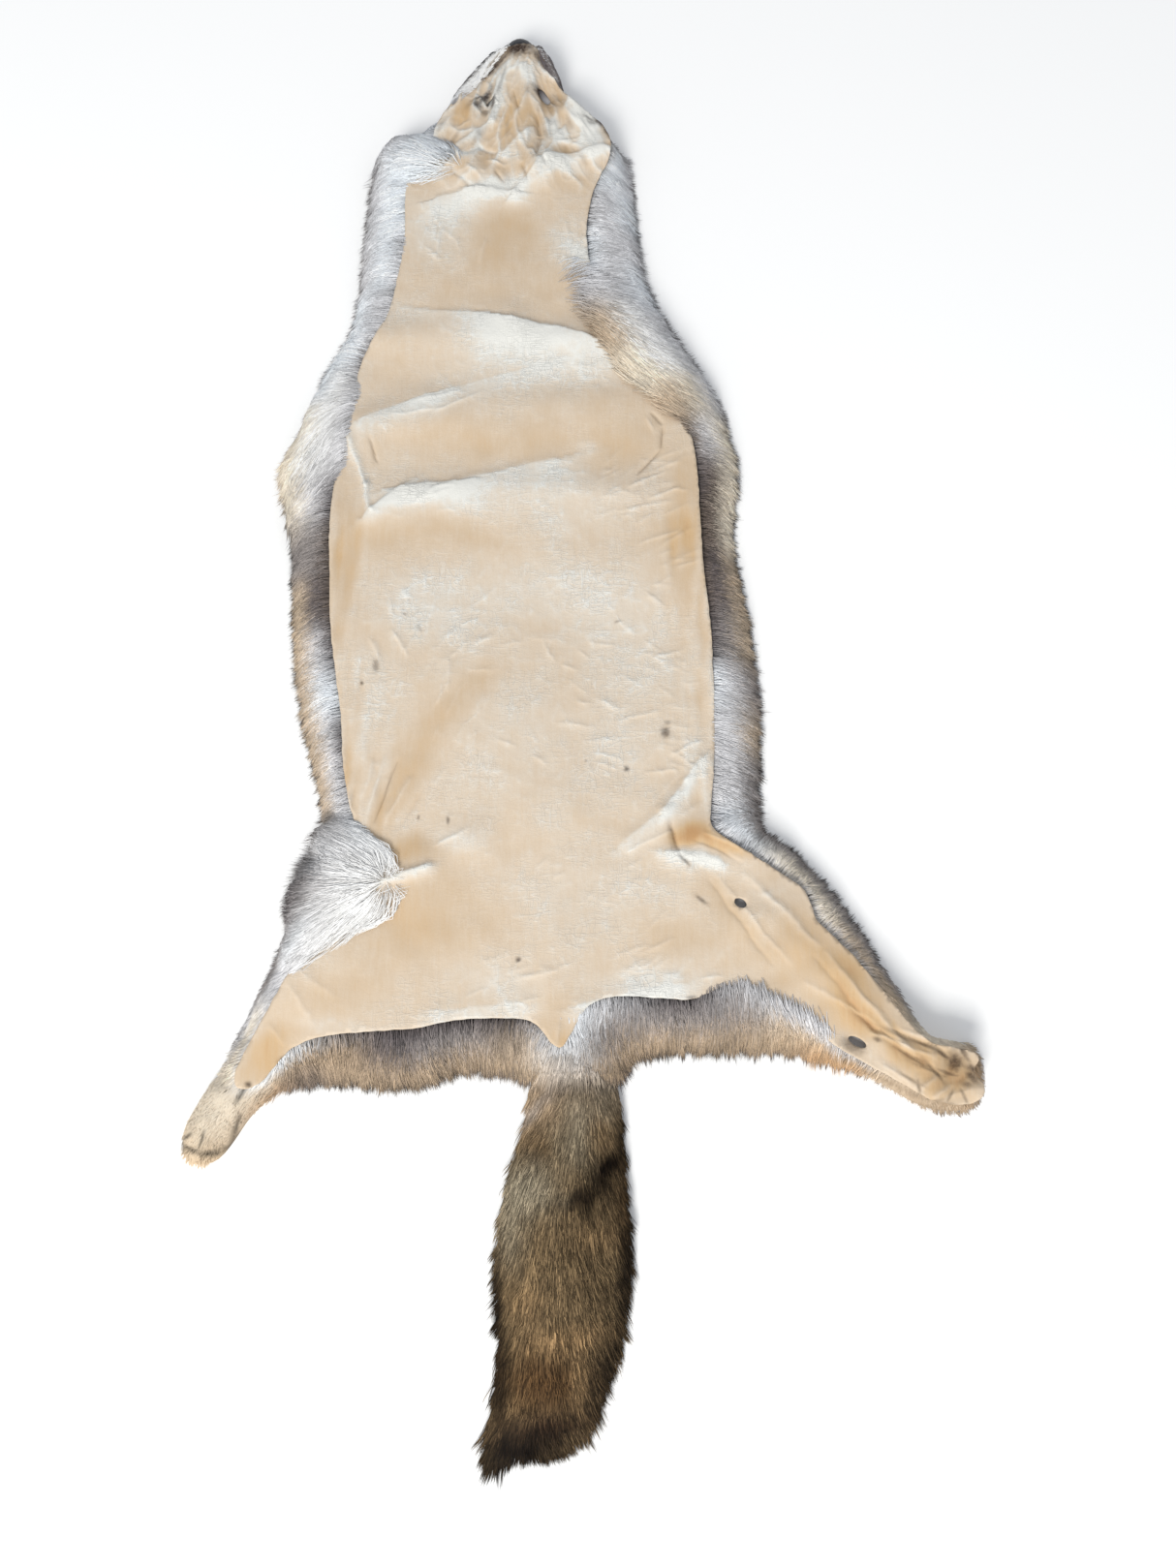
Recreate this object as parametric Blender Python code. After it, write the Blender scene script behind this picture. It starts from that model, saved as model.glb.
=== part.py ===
"""Tanned coyote pelt, laid fur down on a flat surface with its leather side up.

Metres, +Z up. The origin is on the surface, under the middle of the pelt's box.
+Y runs from the tail to the nose and +X to the right of someone who stands at the tail.
The tables hold millimetres: x across the pelt, and back, the distance behind the nose tip.
"""

import math

import bmesh
import bpy
from mathutils import Matrix, Vector, noise

MM = 0.001

# Driving dimensions, in millimetres
LENGTH = 1387.0  # nose tip to tail tip
LEATHER = 1.6  # thickness of the tanned skin
GAP = 0.3  # between one piece and the next
LOFT = 26.0  # height at which the fur below carries the leather
CELL = 24.0  # pitch of the grid that a sheet bends on
HEAD_CELL = 12.0  # pitch on the head, whose folds are small
HEAD_BACK = 215.0  # the head ends here
RIM_HEIGHT = 5.0  # thickness of the fur at its outer edge
RIM_SWELL = 3.0  # rise of the fur just outside the leather edge
FUR_LUMP = 3.5  # unevenness of the fur that shows
LUMP_SIZE = 30.0  # width of one lump
LOCK_PITCH = 15.0  # one pointed lock along the rim
LOCK_LENGTH = 15.0
LOCK_TIP = 1.5  # thickness of a lock at its tip
LOCK_SWEEP = 5.0  # how far a tip is combed towards the tail
TAIL_ROOT = 1092.0  # the tail starts here
SNOUT = 17.0  # the nose pad ends and the mask starts here
NOSE_X = -69.0
NOSE_WIDTH = 32.0
NOSE_HEIGHT = 24.0
NOSE_MIDDLE = 19.0  # height of the pad's middle
NOSTRIL = 3.5
BED_CLEARANCE = 0.15
RIM_ROUND = 14.0  # the fur rounds over within this of its edge
BARE_SNOUT = 70.0  # the fur's edge has no locks before this
SHORTEST_LOCK = 0.25
LOCK_VARIES = 0.45
TAIL_LOCK = 0.7  # length of a lock on the tail against the usual
SNAP = 0.6  # a corner this near a grid line counts as on it
ON_EDGE = 0.01

# Sections across the body: back, outer edge of the fur, leather edges, outer edge of the fur
BODY = [
    (17, -85, -80, -57, -52),
    (34, -106, -97, -44, -37),
    (64, -127, -114, -30, -22),
    (96, -154, -141, -9, 1),
    (126, -187, -156, 21, 31),
    (150, -214, -159, 28, 44),
    (172, -222, -176, 24, 48),
    (200, -223, -184, 10, 50),
    (256, -227, -182, 2, 55),
    (308, -228, -187, 9, 65),
    (360, -235, -196, 19, 90),
    (404, -258, -217, 43, 117),
    (440, -264, -224, 84, 134),
    (484, -286, -230, 102, 143),
    (522, -298, -235, 108, 150),
    (560, -285, -238, 109, 143),
    (600, -277, -238, 110, 141),
    (640, -274, -235, 112, 148),
    (683, -270, -232, 116, 154),
    (730, -265, -225, 117, 158),
    (776, -255, -217, 117, 160),
    (831, -238, -211, 115, 157),
    (872, -230, -200, 110, 155),
]

# Leather edge of the left leg, from the flank tuck round the shank to the rear edge: x, back
LEFT_LEG = [
    (-190, 892),
    (-173, 920),
    (-199, 938),
    (-224, 959),
    (-246, 1001),
    (-271, 1049),
    (-289, 1088),
    (-282, 1099),
    (-266, 1094),
    (-244, 1067),
]

# Leather edge along the rear, from the left leg past the point at the tail to the right leg
REAR = [
    (-210, 1055),
    (-138, 1050),
    (-106, 1043),
    (-50, 1042),
    (-34, 1052),
    (-18, 1068),
    (2, 1033),
    (31, 1023),
    (91, 1027),
    (128, 1013),
    (176, 1041),
]

# Leather edge of the right leg, from the rear edge round the foot to the flank flap
RIGHT_LEG = [
    (214, 1067),
    (264, 1096),
    (284, 1108),
    (316, 1111),
    (328, 1099),
    (324, 1069),
    (287, 1063),
    (261, 1033),
    (227, 988),
    (198, 959),
    (190, 933),
    (151, 907),
    (116, 884),
]

# Outer edge of the fur round the legs and the rear: x, back, length of a lock against the usual
LEFT_LEG_FUR = [
    (-240, 900, 1.0),
    (-250, 922, 1.2),
    (-250, 956, 1.0),
    (-262, 984, 0.8),
    (-281, 1025, 0.6),
    (-298, 1071, 0.3),
    (-324, 1108, 0.0),
    (-337, 1135, 0.0),
    (-334, 1156, 0.0),
    (-318, 1166, 0.0),
    (-299, 1162, 0.0),
    (-287, 1141, 0.0),
    (-273, 1118, 0.3),
    (-244, 1095, 0.7),
]
LEFT_REAR_FUR = [
    (-211, 1092, 0.9),
    (-172, 1096, 1.0),
    (-139, 1096, 1.0),
    (-99, 1083, 1.0),
    (-67, 1083, 0.4),
]
RIGHT_REAR_FUR = [
    (46, 1072, 0.3),
    (80, 1066, 0.8),
    (112, 1068, 1.0),
    (161, 1065, 0.8),
    (208, 1073, 0.6),
]
RIGHT_LEG_FUR = [
    (240, 1086, 0.3),
    (263, 1101, 0.0),
    (287, 1114, 0.0),
    (319, 1117, 0.0),
    (335, 1101, 0.0),
    (332, 1061, 0.0),
    (293, 1054, 0.3),
    (273, 1020, 0.8),
    (252, 987, 0.9),
    (226, 944, 0.9),
    (197, 909, 0.9),
    (176, 886, 0.9),
]

# Sections across the tail: back, left edge, right edge, height of its crown
TAIL = [
    (1092, -50, 34, 25),
    (1118, -48, 33, 32),
    (1140, -55, 34, 40),
    (1165, -64, 36, 44),
    (1190, -71, 40, 46),
    (1220, -73, 41, 47),
    (1252, -70, 38, 46),
    (1285, -68, 32, 44),
    (1316, -70, 22, 40),
    (1342, -74, 8, 35),
    (1356, -74, -10, 27),
    (1366, -73, -32, 18),
]
TAIL_TIP = (-66, 1380)

# Folds and swells of the leather: x and back at each end, half width, height (below 0, a trough)
FOLDS = [
    ("muzzle bridge", -62, 34, -68, 150, 17, 8),
    ("left cheek", -118, 92, -128, 140, 15, 5),
    ("right cheek", -12, 92, 12, 140, 15, 5),
    ("left eye hollow", -100, 84, -97, 94, 10, -6),
    ("right eye hollow", -40, 78, -36, 88, 10, -7),
    ("left ear base", -128, 170, -124, 176, 19, 10),
    ("right ear base", -50, 174, -44, 180, 19, 9),
    ("brow roll", -118, 196, 36, 152, 10, 5),
    ("nape", -150, 240, -20, 250, 24, -2),
    ("neck ridge, left part", -205, 380, -70, 368, 13, 6),
    ("neck ridge, right part", -70, 368, 26, 392, 12, 7),
    ("hollow behind the neck", -190, 424, 30, 420, 18, -3),
    ("chest ridge, left part", -212, 482, -110, 466, 15, 5),
    ("chest ridge, right part", -110, 466, 30, 460, 15, 4),
    ("hollow behind the chest", -190, 516, 40, 512, 17, -3),
    ("rib ridge", -178, 560, 52, 552, 16, 5),
    ("left foreleg seam", -216, 498, -193, 572, 5, 4),
    ("right foreleg seam, upper part", 75, 464, 82, 500, 5, -3),
    ("right foreleg seam, lower part", 82, 500, 58, 534, 5, -3),
    ("left edge curl", -236, 560, -226, 720, 9, 3),
    ("right edge curl", 107, 560, 115, 760, 9, 3),
    ("belly hollow", -120, 650, 40, 700, 45, -3),
    ("loin swell", -70, 800, -40, 860, 50, 3),
    ("left flank gather", -166, 918, -98, 890, 9, 6),
    ("left flank gather, lower part", -160, 930, -104, 948, 9, 4),
    ("right flank flap", 84, 872, 152, 902, 11, 8),
    ("right flank gather", 60, 862, 96, 924, 9, 4),
    ("right thigh ridge", 142, 946, 286, 1082, 13, 8),
    ("right thigh hollow", 170, 1010, 240, 1070, 12, -4),
    ("left thigh ridge", -222, 985, -276, 1084, 12, 4),
    ("rump ridge", -16, 970, -18, 1058, 16, 4),
    ("left shank", -262, 1080, -320, 1150, 42, -7),
    ("right foot", 300, 1066, 312, 1108, 22, 3),
]

# Holes through the leather: x, back, length, width, turn from the X axis in degrees
HOLES = [
    ("left_eye", -99, 89, 17, 4, 62),
    ("right_eye", -42, 82, 22, 9, 118),
    ("thigh_hole", 134, 945, 12, 8, -35),
    ("leg_hole", 227, 1061, 17, 7, -30),
]
HOLE_SIDES = 10

SKIN_COLOUR = (0.80, 0.64, 0.44)
COAT_COLOUR = (0.47, 0.45, 0.46)
TAIL_COLOUR = (0.16, 0.11, 0.075)
NOSE_COLOUR = (0.012, 0.012, 0.016)


def place(x, back):
    """The table's x and back as X and Y, in millimetres from the origin."""
    return x, LENGTH / 2 - back


def collection(name):
    group = bpy.data.collections.new(name)
    bpy.context.scene.collection.children.link(group)
    return group


def material(name, colour, roughness):
    surface = bpy.data.materials.new(name)
    surface.use_nodes = True
    shader = surface.node_tree.nodes["Principled BSDF"]
    shader.inputs["Base Color"].default_value = (*colour, 1)
    shader.inputs["Roughness"].default_value = roughness
    shader.inputs["Metallic"].default_value = 0
    return surface


def smooth(points, per_span):
    """More points on a Catmull-Rom curve through these. A third number is read along with them."""
    curve = []
    ends = [Vector(points[0]), *map(Vector, points), Vector(points[-1])]
    for before, start, end, after in zip(ends, ends[1:], ends[2:], ends[3:]):
        for step in range(per_span):
            t = step / per_span
            curve.append(
                start
                + 0.5 * (end - before) * t
                + (before - 2.5 * start + 2 * end - 0.5 * after) * t**2
                + 0.5 * (3 * start - before - 3 * end + after) * t**3
            )
    return [*curve, Vector(points[-1])]


def distance_to(x, y, sides):
    """How far the point is from the nearest of these sides, each a pair of points."""
    nearest = math.inf
    for a, b in sides:
        dx = b[0] - a[0]
        dy = b[1] - a[1]
        along = (x - a[0]) * dx + (y - a[1]) * dy
        t = min(1, max(0, along / (dx * dx + dy * dy)))
        nearest = min(nearest, math.hypot(x - a[0] - t * dx, y - a[1] - t * dy))
    return nearest


def is_inside(x, y, loop):
    crossings = 0
    for a, b in zip(loop, loop[1:] + loop[:1]):
        if (a[1] > y) != (b[1] > y):
            crossings += x < a[0] + (y - a[1]) / (b[1] - a[1]) * (b[0] - a[0])
    return crossings % 2 == 1


def between(rows, back, column):
    """A column of a table of sections, read between its rows."""
    for near, far in zip(rows, rows[1:]):
        if back <= far[0]:
            t = max(0, (back - near[0]) / (far[0] - near[0]))
            return near[column] + t * (far[column] - near[column])
    return rows[-1][column]


def with_locks(curve):
    """The fur's edge with a pointed lock every LOCK_PITCH, longer where its third number is more."""
    edge = []
    next_lock = 0
    for a, b in zip(curve, curve[1:]):
        side = b.xy - a.xy
        forward = side.normalized()
        outward = Vector((forward.y, -forward.x))
        if min(a.z, b.z) < SHORTEST_LOCK:
            edge.append(a.xy)
            next_lock = 0
            continue
        while next_lock < side.length:
            scale = a.z + (b.z - a.z) * next_lock / side.length
            on_curve = a.xy + forward * next_lock
            vary = 1 + LOCK_VARIES * noise.noise(on_curve.to_3d() / LOCK_PITCH)
            reach = outward * LOCK_LENGTH * scale * vary / 2
            tip = on_curve + forward * LOCK_PITCH / 2 + reach
            tip.y -= LOCK_SWEEP * scale
            edge += [on_curve - reach, tip]
            next_lock += LOCK_PITCH
        next_lock -= side.length
    return [*edge, curve[-1].xy]


def leather_edge():
    """Down the left side from the snout, round the legs and the rear, and up the right side."""
    left = [place(row[2], row[0]) for row in BODY]
    rear = [place(*row) for row in LEFT_LEG + REAR + RIGHT_LEG]
    right = [place(row[3], row[0]) for row in reversed(BODY)]
    return smooth([*left, *rear, *right], 2)


def fur_edges():
    """The coat's outer edge on the left, from snout to tail, and on the right, from tail to snout."""
    left = []
    right = []
    for back, left_fur, _, _, right_fur in BODY:
        lock = min(1, back / HEAD_BACK) if back > BARE_SNOUT else 0
        left.append((*place(left_fur, back), lock))
        right.insert(0, (*place(right_fur, back), lock))
    left += [(*place(x, back), lock) for x, back, lock in LEFT_LEG_FUR + LEFT_REAR_FUR]
    left.append((*place(TAIL[0][1], TAIL_ROOT), 0))
    start = [(*place(TAIL[0][2], TAIL_ROOT), 0)]
    start += [(*place(x, back), lock) for x, back, lock in RIGHT_REAR_FUR + RIGHT_LEG_FUR]
    return smooth(left, 2), smooth(start + right, 2)


def tail_edge():
    """Round the tail from the left end of its root to the right end."""
    left = []
    right = []
    for back, left_fur, right_fur, _ in TAIL:
        lock = TAIL_LOCK if back > TAIL_ROOT + LOCK_PITCH else 0
        left.append((*place(left_fur, back + GAP), lock))
        right.insert(0, (*place(right_fur, back + GAP), lock))
    return smooth([*left, (*place(*TAIL_TIP), TAIL_LOCK), *right], 2)


LEATHER_EDGE = leather_edge()
LEFT_FUR, RIGHT_FUR = fur_edges()
FUR_SIDES = [*zip(LEFT_FUR, LEFT_FUR[1:]), *zip(RIGHT_FUR, RIGHT_FUR[1:])]
LEATHER_SIDES = [*zip(LEATHER_EDGE, LEATHER_EDGE[1:])]
TAIL_EDGE = tail_edge()
TAIL_SIDES = [*zip(TAIL_EDGE, TAIL_EDGE[1:])]


def leather_top(x, y):
    """Level where the fur carries the leather, with each fold added."""
    height = LOFT + LEATHER
    for _, x1, back1, x2, back2, half_width, rise in FOLDS:
        away = distance_to(x, y, [(place(x1, back1), place(x2, back2))])
        height += rise * math.exp(-((away / half_width) ** 2))
    return height


def leather_bottom(x, y):
    return leather_top(x, y) - LEATHER


def bed_top(x, y):
    """The fur that the leather lies on. The last term clears the steep sides of the folds."""
    return leather_bottom(x, y) - GAP - BED_CLEARANCE


def lump(x, y):
    return FUR_LUMP * noise.noise(Vector((x, y, 0)) / LUMP_SIZE)


def rounded(edge_share, crown):
    """A fur section's height: RIM_HEIGHT at its edge, where the share is 0, and the crown at 1."""
    return RIM_HEIGHT + (crown - RIM_HEIGHT) * math.sin(edge_share * math.pi / 2)


def coat_top(x, y):
    if is_inside(x, y, LEATHER_EDGE):
        return leather_top(x, y) + RIM_SWELL
    to_rim = distance_to(x, y, FUR_SIDES)
    if to_rim > ON_EDGE and not is_inside(x, y, LEFT_FUR + RIGHT_FUR):
        return LOCK_TIP
    to_leather = min(RIM_ROUND, distance_to(x, y, LEATHER_SIDES))
    share = to_rim / (to_rim + to_leather) if to_rim else 0
    return rounded(share, leather_top(x, y) + RIM_SWELL) + share * lump(x, y)


def tail_top(x, y):
    to_rim = distance_to(x, y, TAIL_SIDES)
    if to_rim > ON_EDGE and not is_inside(x, y, TAIL_EDGE):
        return LOCK_TIP
    back = LENGTH / 2 - y
    half_width = (between(TAIL, back, 2) - between(TAIL, back, 1)) / 2
    share = min(1, to_rim / half_width)
    return rounded(share, between(TAIL, back, 3)) + share * lump(x, y)


def plan(name, loop):
    """A flat mesh inside the loop, cut along a grid so that it can bend."""
    curve = bpy.data.curves.new(name, "CURVE")
    curve.dimensions = "2D"
    curve.fill_mode = "BOTH"
    spline = curve.splines.new("POLY")
    spline.points.add(len(loop) - 1)
    for point, corner in zip(spline.points, loop):
        point.co = (corner[0], corner[1], 0, 1)
    spline.use_cyclic_u = True
    guide = bpy.data.objects.new(name, curve)
    bpy.context.scene.collection.objects.link(guide)
    graph = bpy.context.evaluated_depsgraph_get()
    filled = bpy.data.meshes.new_from_object(guide.evaluated_get(graph))
    bpy.data.objects.remove(guide)

    sheet = bmesh.new()
    sheet.from_mesh(filled)
    bmesh.ops.remove_doubles(sheet, verts=sheet.verts, dist=ON_EDGE)
    bmesh.ops.dissolve_faces(sheet, faces=sheet.faces[:])
    cut_grid(sheet, CELL, -LENGTH / 2)
    cut_grid(sheet, HEAD_CELL, place(0, HEAD_BACK)[1])
    bmesh.ops.triangulate(sheet, faces=sheet.faces[:])
    return sheet


def cut_grid(sheet, cell, from_y):
    """Cuts the faces past from_y along lines a cell apart."""
    count = math.ceil(LENGTH / 2 / cell)
    for axis in (Vector((1, 0, 0)), Vector((0, 1, 0))):
        for line in range(-count, count + 1):
            faces = [f for f in sheet.faces if f.calc_center_median().y > from_y]
            edges = {edge for face in faces for edge in face.edges}
            corners = {corner for face in faces for corner in face.verts}
            bmesh.ops.bisect_plane(
                sheet,
                geom=[*corners, *edges, *faces],
                dist=SNAP,
                plane_co=axis * line * cell,
                plane_no=axis,
            )


def thicken(sheet, top, bottom):
    """Makes the flat sheet a closed body between two heights that depend on x and y."""
    lifted = bmesh.ops.extrude_face_region(sheet, geom=sheet.faces[:])["geom"]
    raised = {item for item in lifted if isinstance(item, bmesh.types.BMVert)}
    for corner in sheet.verts:
        height = top if corner in raised else bottom
        corner.co.z = height(corner.co.x, corner.co.y)
    bmesh.ops.recalc_face_normals(sheet, faces=sheet.faces[:])


def stand(sheet, top):
    """Makes the flat sheet a closed body with one flat face on the floor."""
    thicken(sheet, top, lambda x, y: 0)
    on_floor = [f for f in sheet.faces if max(corner.co.z for corner in f.verts) == 0]
    bmesh.ops.dissolve_faces(sheet, faces=on_floor)


def widen(sheet, by):
    """Moves the edge of the flat sheet outwards."""
    moves = {}
    for edge in sheet.edges:
        if edge.is_boundary:
            middle = (edge.verts[0].co + edge.verts[1].co) / 2
            side = (edge.verts[1].co - edge.verts[0].co).normalized()
            outward = side.cross(Vector((0, 0, 1)))
            if outward.dot(edge.link_faces[0].calc_center_median() - middle) > 0:
                outward.negate()
            for corner in edge.verts:
                moves[corner] = moves.get(corner, Vector()) + outward
    for corner, outward in moves.items():
        corner.co += outward.normalized() * by


def finish(name, body, group, surface=None):
    """The body as an object of its own, in metres. One with no surface is a cutter."""
    bmesh.ops.scale(body, vec=(MM, MM, MM), verts=body.verts)
    mesh = bpy.data.meshes.new(name)
    body.to_mesh(mesh)
    body.free()
    obj = bpy.data.objects.new(name, mesh)
    group.objects.link(obj)
    if surface:
        mesh.materials.append(surface)
        mesh.shade_smooth()
        mesh.set_sharp_from_angle(angle=math.radians(50))
    else:
        obj.hide_render = True
        obj.display_type = "WIRE"
    return obj


def cut(obj, cutter):
    modifier = obj.modifiers.new(cutter.name, "BOOLEAN")
    modifier.operation = "DIFFERENCE"
    modifier.object = cutter


def make_hide(parts, cutters):
    body = plan("hide", LEATHER_EDGE)
    thicken(body, leather_top, leather_bottom)
    hide = finish("hide", body, parts, material("tanned_leather", SKIN_COLOUR, 0.75))
    for name, x, back, length, width, turn in HOLES:
        punch = bmesh.new()
        bmesh.ops.create_cone(
            punch, cap_ends=True, segments=HOLE_SIDES, radius1=0.5, radius2=0.5, depth=4 * LOFT
        )
        bmesh.ops.scale(punch, vec=(length, width, 1), verts=punch.verts)
        turned = Matrix.Rotation(math.radians(turn), 3, "Z")
        bmesh.ops.rotate(punch, cent=(0, 0, 0), matrix=turned, verts=punch.verts)
        bmesh.ops.translate(punch, vec=(*place(x, back), LOFT), verts=punch.verts)
        cut(hide, finish(name, punch, cutters))


def make_coat(parts, cutters):
    """The fur slab, with a bed cut in it that the leather lies in."""
    body = plan("coat", with_locks(LEFT_FUR) + with_locks(RIGHT_FUR))
    stand(body, coat_top)
    coat = finish("coat", body, parts, material("winter_fur", COAT_COLOUR, 0.95))
    bed = plan("bed", LEATHER_EDGE)
    widen(bed, GAP)
    thicken(bed, lambda x, y: 4 * LOFT, bed_top)
    cut(coat, finish("bed", bed, cutters))


def make_tail(parts):
    body = plan("tail", with_locks(TAIL_EDGE))
    stand(body, tail_top)
    finish("tail", body, parts, material("tail_fur", TAIL_COLOUR, 0.95))


def make_nose(parts, cutters):
    """A rounded pad, flat at the back where the mask starts, with two nostrils."""
    length = SNOUT - GAP
    back_of_pad = Vector((*place(NOSE_X, length), NOSE_MIDDLE))
    body = bmesh.new()
    bmesh.ops.create_uvsphere(body, u_segments=20, v_segments=12, radius=1)
    bmesh.ops.scale(body, vec=(NOSE_WIDTH / 2, length, NOSE_HEIGHT / 2), verts=body.verts)
    bmesh.ops.translate(body, vec=back_of_pad, verts=body.verts)
    sliced = bmesh.ops.bisect_plane(
        body,
        geom=[*body.verts, *body.edges, *body.faces],
        plane_co=back_of_pad,
        plane_no=(0, -1, 0),
        clear_outer=True,
    )
    rim = [item for item in sliced["geom_cut"] if isinstance(item, bmesh.types.BMEdge)]
    bmesh.ops.contextual_create(body, geom=rim)
    nose = finish("nose", body, parts, material("nose_pad", NOSE_COLOUR, 0.45))
    for name, side in (("left_nostril", -1), ("right_nostril", 1)):
        hollow = bmesh.new()
        bmesh.ops.create_uvsphere(hollow, u_segments=10, v_segments=6, radius=NOSTRIL)
        centre = back_of_pad + Vector((side * NOSE_WIDTH / 4, length - NOSTRIL / 2, 0))
        bmesh.ops.translate(hollow, vec=centre, verts=hollow.verts)
        cut(nose, finish(name, hollow, cutters))


for old in list(bpy.data.objects):
    bpy.data.objects.remove(old)
pelt = collection("coyote_pelt")
cutting = collection("cutters")
make_hide(pelt, cutting)
make_coat(pelt, cutting)
make_tail(pelt)
make_nose(pelt, cutting)
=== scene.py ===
"""Looks of the tanned coyote pelt: its skin, its winter coat, its tail and its nose pad."""

import math

import bmesh
import bpy
import numpy as np
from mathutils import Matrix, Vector, geometry, kdtree, noise
from mathutils.bvhtree import BVHTree


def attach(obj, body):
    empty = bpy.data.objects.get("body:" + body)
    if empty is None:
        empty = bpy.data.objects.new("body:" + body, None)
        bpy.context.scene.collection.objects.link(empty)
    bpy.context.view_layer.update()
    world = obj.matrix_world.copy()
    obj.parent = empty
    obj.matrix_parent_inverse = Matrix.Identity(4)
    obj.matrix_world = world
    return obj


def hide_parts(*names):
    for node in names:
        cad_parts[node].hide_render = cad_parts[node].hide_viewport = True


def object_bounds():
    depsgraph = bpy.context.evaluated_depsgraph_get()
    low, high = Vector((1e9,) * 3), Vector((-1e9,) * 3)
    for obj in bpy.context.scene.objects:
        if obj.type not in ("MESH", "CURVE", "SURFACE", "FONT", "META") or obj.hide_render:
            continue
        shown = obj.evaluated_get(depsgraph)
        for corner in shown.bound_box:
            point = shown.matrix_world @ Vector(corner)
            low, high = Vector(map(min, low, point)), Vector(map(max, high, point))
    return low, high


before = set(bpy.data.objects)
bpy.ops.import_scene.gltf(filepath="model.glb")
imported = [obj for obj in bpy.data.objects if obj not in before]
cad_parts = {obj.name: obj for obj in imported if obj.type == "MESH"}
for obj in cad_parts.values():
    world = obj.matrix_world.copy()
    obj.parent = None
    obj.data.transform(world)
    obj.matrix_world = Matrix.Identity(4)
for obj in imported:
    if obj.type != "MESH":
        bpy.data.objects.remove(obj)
cad_low, cad_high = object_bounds()

# The viewpoint. Someone stands at the tail, a metre above the surface, and looks down
# and a little towards the nose. Sizes in pixels are those of the photograph.
MM = 0.001
SENSOR = 36
FOCAL_PIXELS = 1214
PHOTO_HEIGHT = 1619
bpy.ops.object.camera_add(
    location=(4 * MM, -430.5 * MM, 1022 * MM), rotation=(math.radians(16), 0, 0)
)
camera = bpy.context.object
camera.data.sensor_width = SENSOR
camera.data.lens = SENSOR * FOCAL_PIXELS / PHOTO_HEIGHT
bpy.context.scene.camera = camera
bpy.context.scene.view_settings.view_transform = "Standard"


# The floor is a plain white sheet. A pale sky fills the shadows, and one large soft lamp
# behind the viewer models the folds.
def linear(red, green, blue):
    """A colour given as on a screen, 0 to 255, in the linear values that shaders take."""
    return tuple((c / 255) ** 2.2 for c in (red, green, blue))


def finish_of(name, colour, roughness, specular=0.3):
    """A new material and its shader."""
    made = bpy.data.materials.new(name)
    made.use_nodes = True
    shader = made.node_tree.nodes["Principled BSDF"]
    shader.inputs["Base Color"].default_value = (*colour, 1)
    shader.inputs["Roughness"].default_value = roughness
    shader.inputs["Specular IOR Level"].default_value = specular
    return made, shader


bpy.ops.mesh.primitive_plane_add(size=12, location=(0, 0, -0.2 * MM))
floor = bpy.context.object
floor.name = "floor"
floor.data.materials.append(finish_of("floor_sheet", linear(254, 254, 254), 0.9, 0)[0])

sky = bpy.data.worlds.new("soft_sky")
sky.use_nodes = True
sky.node_tree.nodes["Background"].inputs["Color"].default_value = (0.93, 0.96, 1, 1)
sky.node_tree.nodes["Background"].inputs["Strength"].default_value = 0.62
bpy.context.scene.world = sky

LAMP_PLACE = Vector((-1.3, -3.6, 2.9))
bpy.ops.object.light_add(
    type="AREA",
    location=LAMP_PLACE,
    rotation=(-LAMP_PLACE).to_track_quat("-Z", "Y").to_euler(),
)
lamp = bpy.context.object.data
lamp.size = 1.7
lamp.energy = 205
lamp.color = (1, 0.98, 0.94)

# The skin is one tanned hide, 1.3 mm thick, that lies flesh side up on its own fur. It is
# worked soft over a beam, which leaves it tan in some places and chalky in others. The
# paler crests and slopes of its folds, creases and head ridges, and the darker furrows
# between them, are painted highlight and painted shade. It is cut along its outline only.
NOSE_TIP = cad_high.y
CELL = 4 * MM  # pitch of the grids that heights and headings are read from
grid_x = np.arange(cad_low.x - 40 * MM, cad_high.x + 40 * MM, CELL)
grid_y = np.arange(cad_low.y - 40 * MM, cad_high.y + 40 * MM, CELL)
over_x, over_y = np.meshgrid(grid_x, grid_y)


def place(x, back):
    """The tables' x and distance behind the nose tip, in millimetres, as X and Y in metres."""
    return np.column_stack([np.asarray(x) * MM, NOSE_TIP - np.asarray(back) * MM])


def measures(x, y):
    """X and Y in metres as the tables' x and distance behind the nose tip."""
    return x / MM, (NOSE_TIP - y) / MM


def blur(grid, spread):
    for axis, stops in ((0, grid_y), (1, grid_x)):
        weights = np.exp(-0.5 * ((stops[:, None] - stops[None]) / spread) ** 2)
        weights /= weights.sum(1, keepdims=True)
        grid = np.moveaxis(np.tensordot(weights, grid, (1, axis)), 0, axis)
    return grid


def sample(grid, x, y):
    """The grid's value at each point, read between its corners."""
    across = np.clip((x - grid_x[0]) / CELL, 0, len(grid_x) - 1.001)
    up = np.clip((y - grid_y[0]) / CELL, 0, len(grid_y) - 1.001)
    column, row = across.astype(int), up.astype(int)
    s, t = across - column, up - row
    near = grid[row, column] * (1 - s) + grid[row, column + 1] * s
    far = grid[row + 1, column] * (1 - s) + grid[row + 1, column + 1] * s
    return near * (1 - t) + far * t


def level_of(node):
    """The height of a CAD node's upper side over the grid, and where the grid meets it."""
    tree = BVHTree.FromObject(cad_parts[node], bpy.context.evaluated_depsgraph_get())
    found = np.zeros(over_x.shape)
    for row, y in enumerate(grid_y):
        for column, x in enumerate(grid_x):
            hit = tree.ray_cast(Vector((x, y, 1)), Vector((0, 0, -1)))[0]
            if hit:
                found[row, column] = hit.z
    return found, (found > 0).astype(float)


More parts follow.
